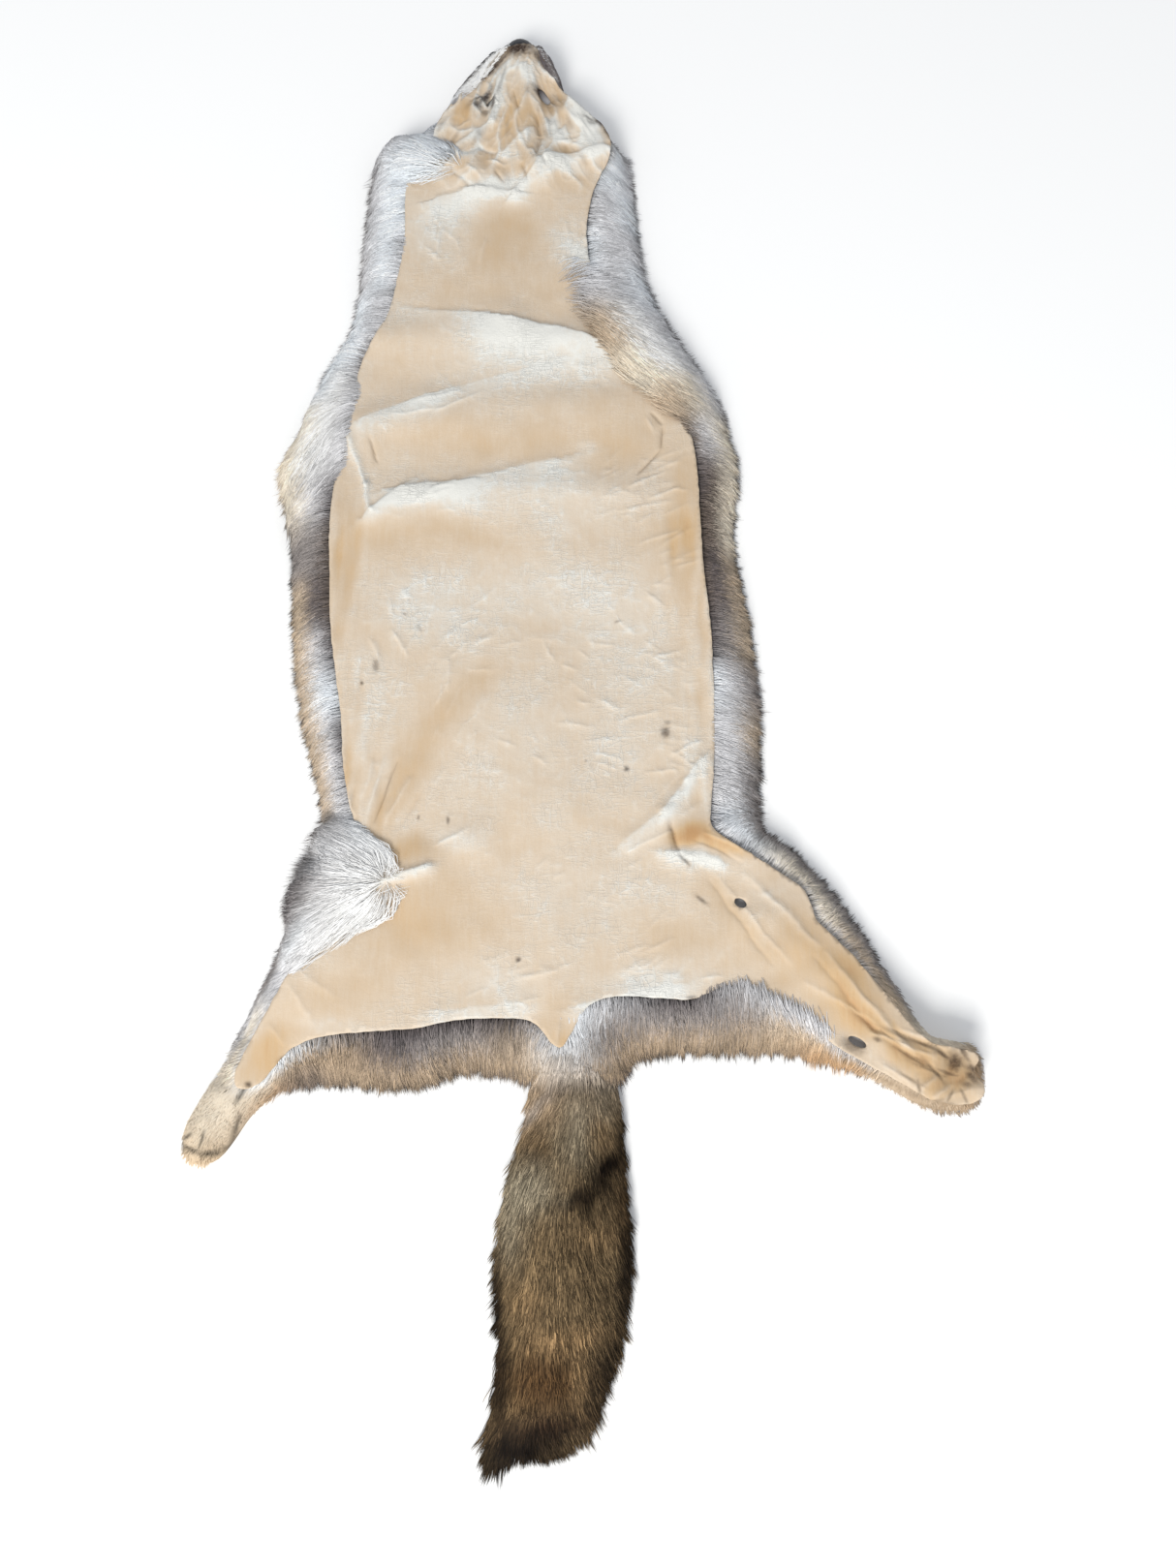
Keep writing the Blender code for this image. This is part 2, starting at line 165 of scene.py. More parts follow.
def outlines(node, faces_up):
    """The loops round a CAD node's upper or floor faces, longest first, in metres."""
    shell = bmesh.new()
    shell.from_mesh(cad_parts[node].data)
    bmesh.ops.remove_doubles(shell, verts=shell.verts, dist=0.01 * MM)
    shell.normal_update()
    facing = 1 if faces_up else -1
    others = [f for f in shell.faces if f.normal.z * facing < 0.25]
    bmesh.ops.delete(shell, geom=others, context="FACES")
    onward = {}
    for edge in shell.edges:
        if edge.is_boundary:
            start, end = edge.verts
            onward.setdefault(start, []).append(end)
            onward.setdefault(end, []).append(start)
    loops = []
    while onward:
        corner = next(iter(onward))
        loop = []
        while corner is not None:
            loop.append(corner.co.xy.copy())
            ahead = [c for c in onward.pop(corner) if c in onward]
            corner = ahead[0] if ahead else None
        loops.append(np.array(loop))
    shell.free()
    return sorted(loops, key=len, reverse=True)


def evenly(loop, step):
    """The closed loop again, with points a step apart."""
    closed = np.vstack([loop, loop[:1]])
    along = np.concatenate([[0], np.cumsum(np.hypot(*np.diff(closed, axis=0).T))])
    stops = np.linspace(0, along[-1], max(8, round(along[-1] / step)), endpoint=False)
    return np.column_stack([np.interp(stops, along, closed[:, k]) for k in (0, 1)])


def eased(loop, spread, step):
    """The closed loop with corners smaller than the spread smoothed away."""
    fine = evenly(loop, 1 * MM)
    shifts = np.arange(-int(3 * spread / MM), int(3 * spread / MM) + 1)
    weights = np.exp(-0.5 * (shifts * MM / spread) ** 2)
    weights /= weights.sum()
    return evenly(sum(w * np.roll(fine, s, 0) for w, s in zip(weights, shifts)), step)


def inside(x, y, loop):
    crossings = np.zeros(np.shape(x), bool)
    for (ax, ay), (bx, by) in zip(loop, np.roll(loop, -1, 0)):
        if ay != by:
            spans = (ay > y) != (by > y)
            crossings ^= spans & (x < ax + (y - ay) / (by - ay) * (bx - ax))
    return crossings


def distance(x, y, loop):
    """How far each point is from the loop's points."""
    tree = kdtree.KDTree(len(loop))
    for index, (px, py) in enumerate(loop):
        tree.insert((px, py, 0), index)
    tree.balance()
    flat = zip(np.ravel(x), np.ravel(y))
    return np.array([tree.find((px, py, 0))[2] for px, py in flat]).reshape(np.shape(x))


def lumps(x, y, size, seed=0):
    """Even noise from about -1 to 1, with lumps of that size in metres."""
    flat = zip(np.ravel(x) / size, np.ravel(y) / size)
    return np.array([noise.noise((px, py, seed)) for px, py in flat]).reshape(np.shape(x))


def net(name, loops, spots):
    """A flat mesh of triangles inside the first loop and outside the others, through the spots."""
    corners, sides = [], []
    for loop in loops:
        first = len(corners)
        corners += [Vector(p) for p in loop]
        sides += [(first + i, first + (i + 1) % len(loop)) for i in range(len(loop))]
    corners += [Vector(p) for p in spots]
    points, _, faces, *_ = geometry.delaunay_2d_cdt(corners, sides, [], 1, 1e-7)
    flat = np.array([tuple(p) for p in points])
    middles = flat[np.array(faces)].mean(1)
    keep = inside(*middles.T, loops[0])
    for hole in loops[1:]:
        keep &= ~inside(*middles.T, hole)
    used = [face for face, kept in zip(faces, keep) if kept]
    mesh = bpy.data.meshes.new(name)
    mesh.from_pydata([(px, py, 0) for px, py in flat], [], used)
    tidy = bmesh.new()
    tidy.from_mesh(mesh)
    bmesh.ops.delete(tidy, geom=[v for v in tidy.verts if not v.link_faces], context="VERTS")
    tidy.to_mesh(mesh)
    tidy.free()
    made = bpy.data.objects.new(name, mesh)
    bpy.context.scene.collection.objects.link(made)
    return made


def spread_spots(step, low, high):
    """Spots of a triangular pattern over a rectangle."""
    pitch = step * math.sqrt(3) / 2
    ys = np.arange(low[1], high[1], pitch)
    rows = []
    for index, y in enumerate(ys):
        xs = np.arange(low[0] + step / 2 * (index % 2), high[0], step)
        rows.append(np.column_stack([xs, np.full(len(xs), y)]))
    return np.vstack(rows)


def beside(x1, back1, x2, back2):
    """Spots in close rows along a line of the tables."""
    first, last = place([x1, x2], [back1, back2])
    run = last - first
    length = np.hypot(*run)
    stops = np.linspace(0, 1, max(2, int(length / (2.4 * MM))))[:, None]
    aside = np.array([-run[1], run[0]]) / length * MM
    return np.vstack([first + stops * run + aside * row for row in (-2.6, -1.2, 0, 1.2, 2.6)])


def corners_of(obj):
    """The X and Y of an object's vertices."""
    found = np.empty(len(obj.data.vertices) * 3)
    obj.data.vertices.foreach_get("co", found)
    return found.reshape(-1, 3)


def only(obj):
    """Selects this object alone and makes it the active one."""
    bpy.ops.object.select_all(action="DESELECT")
    obj.select_set(True)
    bpy.context.view_layer.objects.active = obj


def mark(obj, name, values):
    """Stores one number for each vertex under that name."""
    obj.data.attributes.new(name, "FLOAT", "POINT").data.foreach_set("value", values)


# Folds of the skin: x and back at each end, reach of the steep side and of the gentle side,
# height, and how much paler the gentle side is painted, a painted sheen on that slope. That
# is the right-hand side of someone who walks from the first end to the second, seen from above.
FOLDS = [
    ("neck roll, left part", -150, 214, -110, 204, 4, 16, 2.0, 0.5),
    ("neck roll, middle", -110, 204, -71, 207, 4, 14, 2.5, 0.7),
    ("neck roll, right part", -71, 207, -38, 170, 4, 13, 3.0, 0.8),
    ("neck roll, end", -38, 170, 19, 154, 4, 12, 2.5, 0.9),
    ("throat fold, left part", -144, 349, -72, 361, 3, 40, 1.2, 0.55),
    ("throat fold, right part", -72, 361, 17, 385, 3, 38, 2.4, 0.95),
    ("slant fold, left part", -216, 476, -153, 447, 12, 18, 1.6, 0.75),
    ("slant fold, right part", -153, 447, -40, 410, 14, 22, 1.2, 0.45),
    ("chest fold, left part", -201, 572, -173, 548, 2.5, 16, 2.6, 1.0),
    ("chest fold, middle", -173, 548, -121, 541, 2.5, 22, 2.2, 0.95),
    ("chest fold, right part", -121, 541, -30, 516, 6, 34, 1.4, 0.6),
    ("rump fold, right part", -4, 1032, 79, 1014, 9, 14, 1.5, 0.7),
    ("rump fold, left part", -121, 1036, -50, 1030, 10, 14, 1.0, 0.5),
    ("right flank fold, upper part", 71, 863, 104, 817, 5, 10, 3.0, 0.7),
    ("right flank fold, lower part", 38, 889, 71, 863, 6, 12, 2.0, 0.6),
    ("right flank corner", 72, 900, 116, 909, 3, 9, 2.2, 0.9),
    ("left flank tongue", -176, 926, -135, 913, 3, 7, 3.2, 1.0),
    ("left seam, upper part", -207, 543, -226, 494, 2.0, 4.0, 2.4, 0.6),
    ("left seam, lower part", -200, 571, -207, 543, 2.0, 4.0, 2.4, 0.6),
    ("left cheek ridge, front", -97, 119, -92, 63, 3, 6, 2.5, 0.7),
    ("left cheek ridge, back", -131, 151, -97, 119, 3, 6, 2.5, 0.8),
    ("left ear edge, front", -125, 163, -109, 150, 2, 5, -2.2, 0.5),
    ("left ear edge, back", -109, 150, -93, 155, 2, 4, -2.2, 0.5),
    ("left ear lower edge", -116, 202, -133, 181, 2, 5, -2.0, 0.5),
    ("right ear ridge", -39, 163, -25, 130, 3, 8, 2.8, 0.9),
    ("brow ridge", -83, 160, -55, 130, 5, 8, 2.2, 0.7),
    ("right brow edge", 7, 148, -19, 100, 6, 12, 1.5, 0.8),
]

# Narrow creases: x and back at each end, half width, height (below 0, a furrow).
CREASES = [
    (64, 464, 76, 479, 1.6, -1.6),
    (76, 479, 74, 505, 1.6, -1.8),
    (74, 505, 50, 534, 1.6, -1.6),
    (60, 470, 68, 484, 1.8, 1.0),
    (-207, 494, -196, 520, 1.4, -1.4),
    (-186, 815, -192, 850, 2.5, 1.6),
    (-175, 813, -191, 875, 2.2, 1.8),
    (-164, 817, -185, 877, 2.4, -1.6),
    (-151, 831, -174, 875, 2.6, 1.6),
    (-140, 842, -160, 878, 2.4, -1.0),
    (-203, 848, -206, 884, 2.0, 1.6),
    (76, 875, 82, 901, 1.6, -2.4),
    (82, 901, 94, 913, 1.6, -2.4),
    (102, 883, 153, 905, 1.8, 1.4),
    (94, 890, 140, 910, 1.6, -1.2),
    (106, 922, 161, 1001, 2.2, -1.0),
    (114, 918, 176, 1000, 2.4, 1.0),
    (135, 918, 203, 984, 3.0, 1.4),
    (203, 984, 277, 1080, 3.0, 1.8),
    (192, 988, 262, 1078, 2.4, -1.2),
    (216, 1030, 262, 1066, 2.0, -1.6),
    (184, 1010, 246, 1048, 2.2, 1.2),
    (236, 1052, 290, 1076, 1.8, 1.6),
    (-50, 108, -46, 137, 2.6, -3.2),
    (-46, 137, -51, 172, 2.6, -3.4),
    (-40, 112, -36, 136, 2.0, 1.8),
    (-58, 128, -60, 156, 2.2, 1.6),
    (-106, 64, -90, 85, 2.4, 1.8),
    (-75, 78, -68, 108, 2.2, -1.8),
    (-84, 74, -77, 100, 2.2, 1.6),
    (-112, 84, -103, 102, 1.6, 2.2),
    (-99, 78, -90, 96, 1.6, 2.2),
    (-118, 96, -108, 110, 1.8, 1.6),
    (-52, 78, -44, 96, 1.6, 2.0),
    (-34, 76, -24, 98, 1.8, 1.8),
    (-26, 72, -12, 100, 1.8, 1.6),
    (-132, 128, -118, 118, 1.8, 1.4),
    (-140, 150, -128, 168, 2.0, 2.0),
    (-122, 176, -104, 196, 2.0, 1.6),
    (-100, 168, -82, 178, 1.8, 1.6),
    (-94, 182, -80, 196, 1.8, -1.6),
    (-66, 178, -58, 196, 1.8, -1.6),
    (-58, 160, -48, 172, 2.4, 2.6),
    (-46, 168, -38, 182, 2.0, -2.0),
    (-20, 120, -14, 146, 1.8, 1.4),
    (-8, 112, 6, 138, 1.8, 1.4),
    (-30, 146, -2, 140, 1.8, 1.2),
    (-70, 44, -66, 60, 2.0, 1.4),
    (-80, 40, -90, 62, 1.8, 1.4),
    (-62, 38, -46, 60, 1.8, 1.6),
    (-100, 262, -104, 292, 2.2, 1.0),
    (-128, 226, -138, 262, 2.0, 1.0),
    (-146, 250, -150, 286, 2.0, 0.9),
    (-20, 240, -14, 270, 2.0, 0.9),
    (-168, 455, -120, 440, 1.8, 0.8),
    (-190, 470, -132, 462, 1.8, 0.8),
    (-150, 470, -96, 440, 1.8, 0.8),
    (60, 560, 92, 546, 1.8, 1.0),
    (40, 548, 80, 528, 1.6, 0.9),
    (30, 572, 84, 560, 1.8, 0.8),
    (50, 606, 92, 590, 1.8, 0.8),
    (-176, 690, -160, 720, 2.0, 1.0),
    (-196, 700, -182, 726, 2.0, 1.0),
    (-150, 690, -164, 716, 2.0, 0.8),
    (60, 720, 90, 712, 1.8, 0.8),
    (30, 780, 70, 770, 1.8, 0.8),
    (78, 812, 104, 800, 1.8, 1.0),
    (80, 880, 36, 900, 1.8, 0.9),
    (-100, 880, -130, 896, 2.0, 0.9),
    (-60, 1010, -20, 1002, 1.8, 0.8),
    (-20, 1044, -22, 1066, 1.8, 1.0),
    (-250, 1010, -222, 1046, 2.6, 0.6),
    (-240, 1000, -206, 1026, 3.0, 0.5),
    (-262, 1044, -248, 1066, 2.4, 0.5),
    (292, 1086, 276, 1098, 2.4, 1.6),
    (300, 1096, 284, 1106, 2.4, 1.8),
    (312, 1072, 296, 1088, 2.2, -2.2),
    (318, 1084, 304, 1096, 2.2, -2.0),
    (248, 1048, 300, 1071, 2.4, -1.6),
    (252, 1064, 297, 1088, 2.0, -1.4),
    (240, 1074, 280, 1104, 2.2, 1.0),
    (262, 1050, 312, 1066, 2.4, 1.6),
]

# Small wrinkles in groups: x, back, half width and half length of the group, the run of its
# wrinkles in x and back, and how many there are.
WRINKLES = [
    (44, 545, 44, 34, 0.90, -0.42, 20),
    (70, 610, 26, 40, 0.95, -0.20, 10),
    (40, 690, 46, 40, 0.90, 0.40, 12),
    (40, 780, 50, 46, 0.92, 0.32, 16),
    (70, 850, 26, 30, 0.80, -0.60, 8),
    (-120, 700, 44, 36, 0.90, -0.36, 12),
    (-160, 680, 26, 30, 0.20, -0.98, 7),
    (-110, 800, 34, 50, 0.45, -0.90, 12),
    (-40, 760, 50, 60, 0.85, 0.50, 8),
    (0, 950, 60, 40, 0.70, -0.70, 10),
    (60, 1000, 40, 20, 0.85, -0.50, 8),
    (-60, 1010, 40, 20, 0.90, -0.30, 6),
    (-150, 250, 20, 34, 0.25, 0.97, 7),
    (4, 250, 14, 34, 0.20, 0.98, 6),
    (-20, 400, 40, 30, 0.95, 0.20, 7),
    (-140, 560, 30, 16, 0.90, -0.30, 6),
]
rng = np.random.default_rng(7)
for px, pback, half_width, half_length, dx, dback, count in WRINKLES:
    for _ in range(count):
        length = rng.uniform(14, 36)
        turned = rng.normal(0, 0.3)
        c, s = math.cos(turned), math.sin(turned)
        run_across, run_along = length * (dx * c - dback * s), length * (dx * s + dback * c)
        x1 = px + rng.uniform(-half_width, half_width)
        back1 = pback + rng.uniform(-half_length, half_length)
        half, rise = rng.uniform(1.6, 2.4), rng.uniform(0.3, 0.7)
        CREASES.append((x1, back1, x1 + run_across, back1 + run_along, half, rise))

# Soft patches of colour: x, back, half width, half length, turn, tone. Above 0 the skin is
# chalky, below 0 it is a deeper tan, and below about -0.6 it is orange.
PATCHES = [
    (-150, 250, 34, 42, 10, 0.45),
    (-128, 226, 26, 16, 0, 0.35),
    (-78, 262, 46, 40, 0, -0.45),
    (-165, 190, 18, 12, 0, -0.25),
    (-24, 262, 24, 26, 0, 0.35),
    (4, 280, 26, 13, -10, 0.75),
    (-12, 214, 34, 30, -30, -0.25),
    (-90, 320, 110, 26, -8, -0.22),
    (-140, 376, 30, 34, 30, -0.20),
    (-180, 400, 18, 40, 0, -0.15),
    (-80, 404, 66, 26, 14, 0.20),
    (-60, 500, 130, 24, -4, -0.38),
    (40, 486, 40, 40, 0, -0.26),
    (5, 502, 12, 9, 0, 0.55),
    (-36, 512, 40, 14, 0, 0.15),
    (0, 566, 90, 34, -6, 0.26),
    (-166, 602, 52, 26, -12, -0.45),
    (-110, 590, 44, 14, -20, -0.35),
    (-222, 620, 14, 70, 0, -0.50),
    (96, 600, 18, 90, 0, -0.70),
    (60, 584, 26, 34, 20, -0.35),
    (-40, 655, 120, 36, 0, 0.30),
    (-150, 660, 46, 44, 10, 0.28),
    (-110, 700, 56, 22, -30, 0.20),
    (40, 700, 60, 50, 0, 0.24),
    (-96, 742, 16, 34, -42, -0.36),
    (-136, 789, 15, 32, -34, -0.42),
    (-157, 835, 14, 30, -28, -0.44),
    (-176, 872, 11, 22, -26, -0.40),
    (-190, 760, 24, 40, 0, 0.20),
    (-206, 840, 10, 40, 0, -0.45),
    (-60, 800, 52, 60, 0, 0.22),
    (50, 800, 44, 44, 0, 0.22),
    (-156, 898, 34, 13, 4, -0.60),
    (-110, 890, 26, 12, 0, 0.45),
    (-120, 950, 60, 36, -20, -0.42),
    (-160, 980, 50, 36, -30, -0.25),
    (-74, 1010, 42, 20, -10, 0.35),
    (-22, 1046, 18, 28, 0, -0.40),
    (-16, 1066, 10, 12, 0, -0.5),
    (60, 1010, 48, 18, 8, 0.55),
    (72, 976, 54, 20, 10, -0.28),
    (0, 940, 70, 30, 0, 0.20),
    (122, 893, 34, 9, -14, -0.95),
    (92, 884, 18, 10, 20, -0.80),
    (100, 905, 22, 8, -16, 0.75),
    (118, 940, 18, 34, 40, -0.38),
    (150, 990, 34, 40, 36, -0.10),
    (196, 978, 24, 40, 46, -0.62),
    (232, 1024, 20, 36, 40, -0.80),
    (222, 1040, 16, 34, 56, -0.55),
    (288, 1098, 16, 13, 0, -0.40),
    (262, 1070, 12, 26, 40, -0.55),
    (314, 1086, 16, 20, 0, -0.55),
    (290, 1088, 34, 22, -30, -0.35),
    (180, 1010, 16, 60, 42, -0.30),
    (284, 1072, 30, 16, -30, -0.30),
    (-236, 1030, 22, 40, -34, -0.12),
    (-200, 1022, 40, 26, -20, -0.20),
    (-262, 1070, 18, 24, -36, -0.85),
    (-210, 1048, 36, 7, -6, 0.30),
    (-80, 118, 16, 24, 8, -0.38),
    (-126, 108, 12, 24, 20, -0.45),
    (-58, 96, 12, 20, 0, -0.25),
    (-106, 180, 18, 20, 0, -0.40),
    (-56, 168, 11, 28, 6, -0.50),
    (-44, 122, 7, 20, 4, -0.45),
    (-24, 102, 12, 18, 20, -0.45),
    (-32, 120, 10, 14, 0, 0.75),
    (-14, 176, 26, 8, -22, 0.70),
    (-84, 196, 30, 9, 4, 0.60),
    (-26, 156, 14, 9, -20, -0.35),
    (0, 122, 18, 26, 20, 0.80),
    (-84, 58, 16, 18, 30, 0.55),
    (-66, 60, 12, 16, 0, 0.30),
    (-56, 34, 12, 10, 10, -0.50),
    (-92, 202, 26, 9, 0, 0.65),
    (-118, 136, 12, 12, 0, 0.35),
    (-78, 166, 14, 9, -20, 0.55),
    (-60, 138, 9, 12, 30, 0.50),
]

# Marks in the skin: x, back, half width, half length, turn, depth of colour.
MARKS = [
    (-188, 727, 3.2, 6.0, 0, 0.50),
    (-200, 744, 1.5, 2.0, 0, 0.75),
    (73, 791, 4.2, 5.5, 0, 0.70),
    (75, 782, 3.0, 2.0, 0, 0.45),
    (38, 825, 2.4, 2.6, 0, 0.75),
    (2, 818, 1.3, 1.3, 0, 0.40),
    (-144, 869, 1.3, 2.2, 0, 0.55),
    (-118, 872, 1.5, 4.0, 6, 0.60),
    (-55, 993, 2.3, 2.3, 0, 0.85),
    (101, 942, 6.5, 1.8, -38, 0.60),
    (-246, 1074, 7.0, 2.2, 12, 0.90),
    (-276, 1095, 2.8, 2.4, 0, 0.80),
    (91, 1025, 4.5, 1.8, 0, 0.65),
    (243, 1059, 3.2, 2.0, -20, 0.70),
    (31, 683, 3.0, 1.2, 20, 0.45),
    (-150, 690, 1.5, 4.5, 20, 0.30),
    (-164, 676, 2.0, 1.5, 0, 0.35),
    (-104, 84, 3.6, 15.0, -28, 0.95),
    (-113, 98, 4.0, 6.0, 0, 0.80),
    (-96, 92, 2.0, 10.0, -10, 0.80),
    (-110, 86, 1.8, 12.0, -54, 0.85),
    (-46, 80, 6.0, 11.0, 40, 1.0),
    # Painted shade: the next two darken the sunken hollow beside the right eye.
    (-36, 90, 9.0, 15.0, 28, 0.40),
    (-28, 92, 9.0, 12.0, 30, 0.25),
    (16, 122, 4.0, 9.0, 40, 0.85),
    (24, 132, 4.0, 9.0, 30, 0.85),
    (30, 142, 3.0, 6.0, 50, 0.80),
    (6, 118, 2.0, 10.0, 60, 0.60),
    (8, 122, 6.0, 3.0, -20, 0.45),
    (-97, 44, 3.5, 34.0, -34, 0.80),
    (-71, 23, 19.0, 12.0, 0, 1.0),
    (-98, 48, 3.6, 36.0, -41, 0.95),
    (-50, 36, 4.0, 12.0, 24, 0.80),
    (-56, 22, 6.0, 10.0, 20, 0.60),
    (-112, 96, 5.0, 7.0, 20, 0.70),
    (-104, 106, 4.0, 5.0, -30, 0.60),
    (-50, 170, 6.0, 5.0, 0, 0.30),
    # Painted shade: a dark line along the deep furrow beside the right eye.
    (-46, 140, 2.0, 18.0, 4, 0.35),
    (-58, 30, 12.0, 5.0, 0, 0.50),
    (-36, 118, 7.0, 5.0, 0, 0.28),
    (-90, 44, 14.0, 5.0, 48, 0.35),
    (305, 1077, 8.0, 8.0, 0, 0.85),
    (322, 1084, 3.5, 10.0, 70, 0.85),
    (312, 1068, 2.5, 12.0, 30, 0.70),
    (292, 1092, 14.0, 12.0, 0, 0.22),
    (306, 1086, 16.0, 14.0, 0, 0.25),
    (300, 1112, 14.0, 2.2, -16, 0.55),
    (288, 1086, 2.0, 16.0, 40, 0.60),
    (313, 1095, 5.0, 3.0, 0, 0.60),
    (318, 1089, 4.0, 7.0, 40, 0.75),
    (296, 1072, 2.2, 12.0, 56, 0.75),
    (298, 1086, 1.8, 12.0, 72, 0.65),
    (282, 1064, 1.7, 18.0, 64, 0.60),
    (262, 1057, 1.5, 20.0, 62, 0.45),
    (270, 1074, 1.5, 22.0, 56, 0.45),
    (282, 1083, 1.4, 14.0, 68, 0.50),
    (266, 1090, 1.3, 20.0, 60, 0.40),
    (284, 1109, 10.0, 1.6, 8, 0.55),
    (274, 1098, 1.5, 9.0, 8, 0.50),
    (299, 1104, 1.5, 8.0, -30, 0.50),
    (310, 1104, 1.5, 9.0, 24, 0.50),
    (222, 1064, 11.0, 5.5, -32, 0.60),
    # Painted shade: the next two are dark lines along the furrows at the right flank corner.
    (76, 886, 3.0, 14.0, 10, 0.30),
    (88, 908, 8.0, 2.5, -36, 0.30),
    (156, 906, 12.0, 2.5, -14, 0.35),
]


# Raised and sunken spots of the skin: x, back, half width, half length, turn, rise.
SWOLLEN = [
    (286, 1097, 12, 11, 0, 2.6),
    (307, 1076, 10, 9, 0, -1.4),
    (324, 1070, 9, 7, 0, 2.2),
    (322, 1102, 9, 8, 0, 2.4),
    (300, 1058, 26, 7, -60, 1.6),
    (260, 1078, 26, 8, -58, 1.4),
    (-100, 88, 9, 14, -28, -2.0),
    (-42, 82, 10, 16, 28, -2.4),
]


def across_line(x, back, x1, back1, x2, back2):
    """Distance from the line, whether it is to the right of it, and 0 to 1 along it."""
    dx, dback = x2 - x1, back2 - back1
    t = ((x - x1) * dx + (back - back1) * dback) / (dx * dx + dback * dback)
    t = np.clip(t, 0, 1)
    away = np.hypot(x - x1 - t * dx, back - back1 - t * dback)
    return away, dx * (back - back1) - dback * (x - x1) > 0, np.clip(t, 0, 1)


def in_patch(x, back, px, pback, half_width, half_length, turn):
    """1 in the middle of the patch and soft to 0 beyond its rim."""
    c, s = math.cos(math.radians(turn)), math.sin(math.radians(turn))
    u = ((x - px) * c - (back - pback) * s) / half_width
    v = ((x - px) * s + (back - pback) * c) / half_length
    return np.exp(-((u * u + v * v) ** 1.3))


NOTCH = place([330], [1085])[0]  # the gap between the toes of the right foot
NOTCH_REACH = 7 * MM
NOTCH_DEPTH = 9 * MM

hide_level, on_hide = level_of("hide")
hide_level = blur(hide_level, 7 * MM) / np.maximum(blur(on_hide, 7 * MM), 1e-9)
skin_loop, *hole_loops = outlines("hide", faces_up=True)
skin_loop = eased(skin_loop, 4 * MM, 3 * MM)
skin_loop += 0.7 * MM * np.column_stack([lumps(*skin_loop.T, 7 * MM, k) for k in (1, 2)])
skin_loop[:, 0] -= NOTCH_DEPTH * np.exp(-((np.hypot(*(skin_loop - NOTCH).T) / NOTCH_REACH) ** 2))
hole_loops = [eased(loop, 1 * MM, 1.2 * MM) for loop in hole_loops if len(loop) > 5]

HEAD_END = 222 * MM
FOOT = ((215 * MM, NOSE_TIP - 1125 * MM), (cad_high.x, NOSE_TIP - 1035 * MM))
coarse = [
    spread_spots(3.6 * MM, cad_low.xy, (cad_high.x, NOSE_TIP - HEAD_END)),
    spread_spots(1.6 * MM, (cad_low.x, NOSE_TIP - HEAD_END), cad_high.xy),
    spread_spots(1.7 * MM, *FOOT),
]
coarse[0] = coarse[0][~((coarse[0] > FOOT[0]) & (coarse[0] < FOOT[1])).all(1)]
fine = [beside(*row[1:5]) for row in FOLDS] + [beside(*row[:4]) for row in CREASES]
for x, back, half_width, half_length, *_ in MARKS:
    if half_width * half_length < 50:
        middle = place([x], [back])[0]
        around = spread_spots(1.2 * MM, middle - 6 * MM, middle + 6 * MM)
        fine.append(around[np.hypot(*(around - middle).T) < 6 * MM])
coarse, fine = np.vstack(coarse), np.vstack(fine)
coarse = coarse[distance(*coarse.T, fine) > 1.7 * MM]
spots = np.vstack([coarse, fine])
spots = spots[inside(*spots.T, skin_loop)]
clear = distance(*spots.T, np.vstack([skin_loop, *hole_loops])) > 1.3 * MM
skin = net("tanned_skin", [skin_loop, *hole_loops], spots[clear])



def vein(x, back, size, thickness, seed):
    """1 on the wandering lines where noise of that size crosses zero."""
    bend = 0.3 * size * lumps(x, back, 1.4 * size, seed + 50)
    return np.exp(-((lumps(x + bend, back - bend, size, seed) / thickness) ** 2))


corners = corners_of(skin)
x, back = measures(corners[:, 0], corners[:, 1])
height = sample(hide_level, corners[:, 0], corners[:, 1]) / MM
tone = 0.18 + 0.10 * lumps(x, back, 42, 5) + 0.08 * lumps(x, back, 16, 6)
stain_and_shade = np.zeros(len(x))
bend = 2.4 * lumps(x, back, 24, 60) + 0.8 * lumps(x, back, 7, 62)
for _, x1, back1, x2, back2, steep, gentle, rise, painted_sheen in FOLDS:
    away, gentle_side, _ = across_line(x + bend, back - bend, x1, back1, x2, back2)
    fall = np.exp(-((away / np.where(gentle_side, gentle, steep)) ** 2))
    height += rise * fall
    # Painted sheen: the gentle side of each fold is painted paler, and a thin pale line is painted along its
    # crest.
    tone += painted_sheen * np.where(gentle_side, fall, np.exp(-((away / 1.8) ** 2)))
for x1, back1, x2, back2, half_width, rise in CREASES:
    away, _, along = across_line(x + bend, back - bend, x1, back1, x2, back2)
    fade = np.sqrt(np.sin(math.pi * along))
    line = fade * np.exp(-((away / half_width) ** 2))
    height += rise * line
    # Painted highlight and shade: raised creases are painted paler and furrows darker.
    tone += 0.26 * max(rise, -0.6) * line
    # Painted shade: a dark line is painted along the bottom of each deep furrow.
    if rise < -1.3:
        stain_and_shade = np.maximum(stain_and_shade, 0.40 * fade * np.exp(-((away / 0.9) ** 2)))
wander = 5 * lumps(x, back, 22, 8)
for px, pback, half_width, half_length, turn, amount in PATCHES:
    tone += amount * in_patch(
        x + wander, back - wander, px, pback, half_width, half_length, turn
    )
for px, pback, half_width, half_length, turn, depth in MARKS:
    rag = 0.35 * min(half_width, half_length) * lumps(x, back, 3.5, 9)
    found = in_patch(x + rag, back + rag, px, pback, half_width, half_length, turn)
    stain_and_shade = np.maximum(stain_and_shade, depth * found)
for px, pback, half_width, half_length, turn, rise in SWOLLEN:
    height += rise * in_patch(x, back, px, pback, half_width, half_length, turn)
head = 1 / (1 + np.exp((back - 196) / 7))
dried = np.maximum(head, in_patch(x, back, 296, 1088, 46, 36, -30))
height += 0.8 * lumps(x, back, 60, 3) + 0.45 * lumps(x, back, 21, 4)
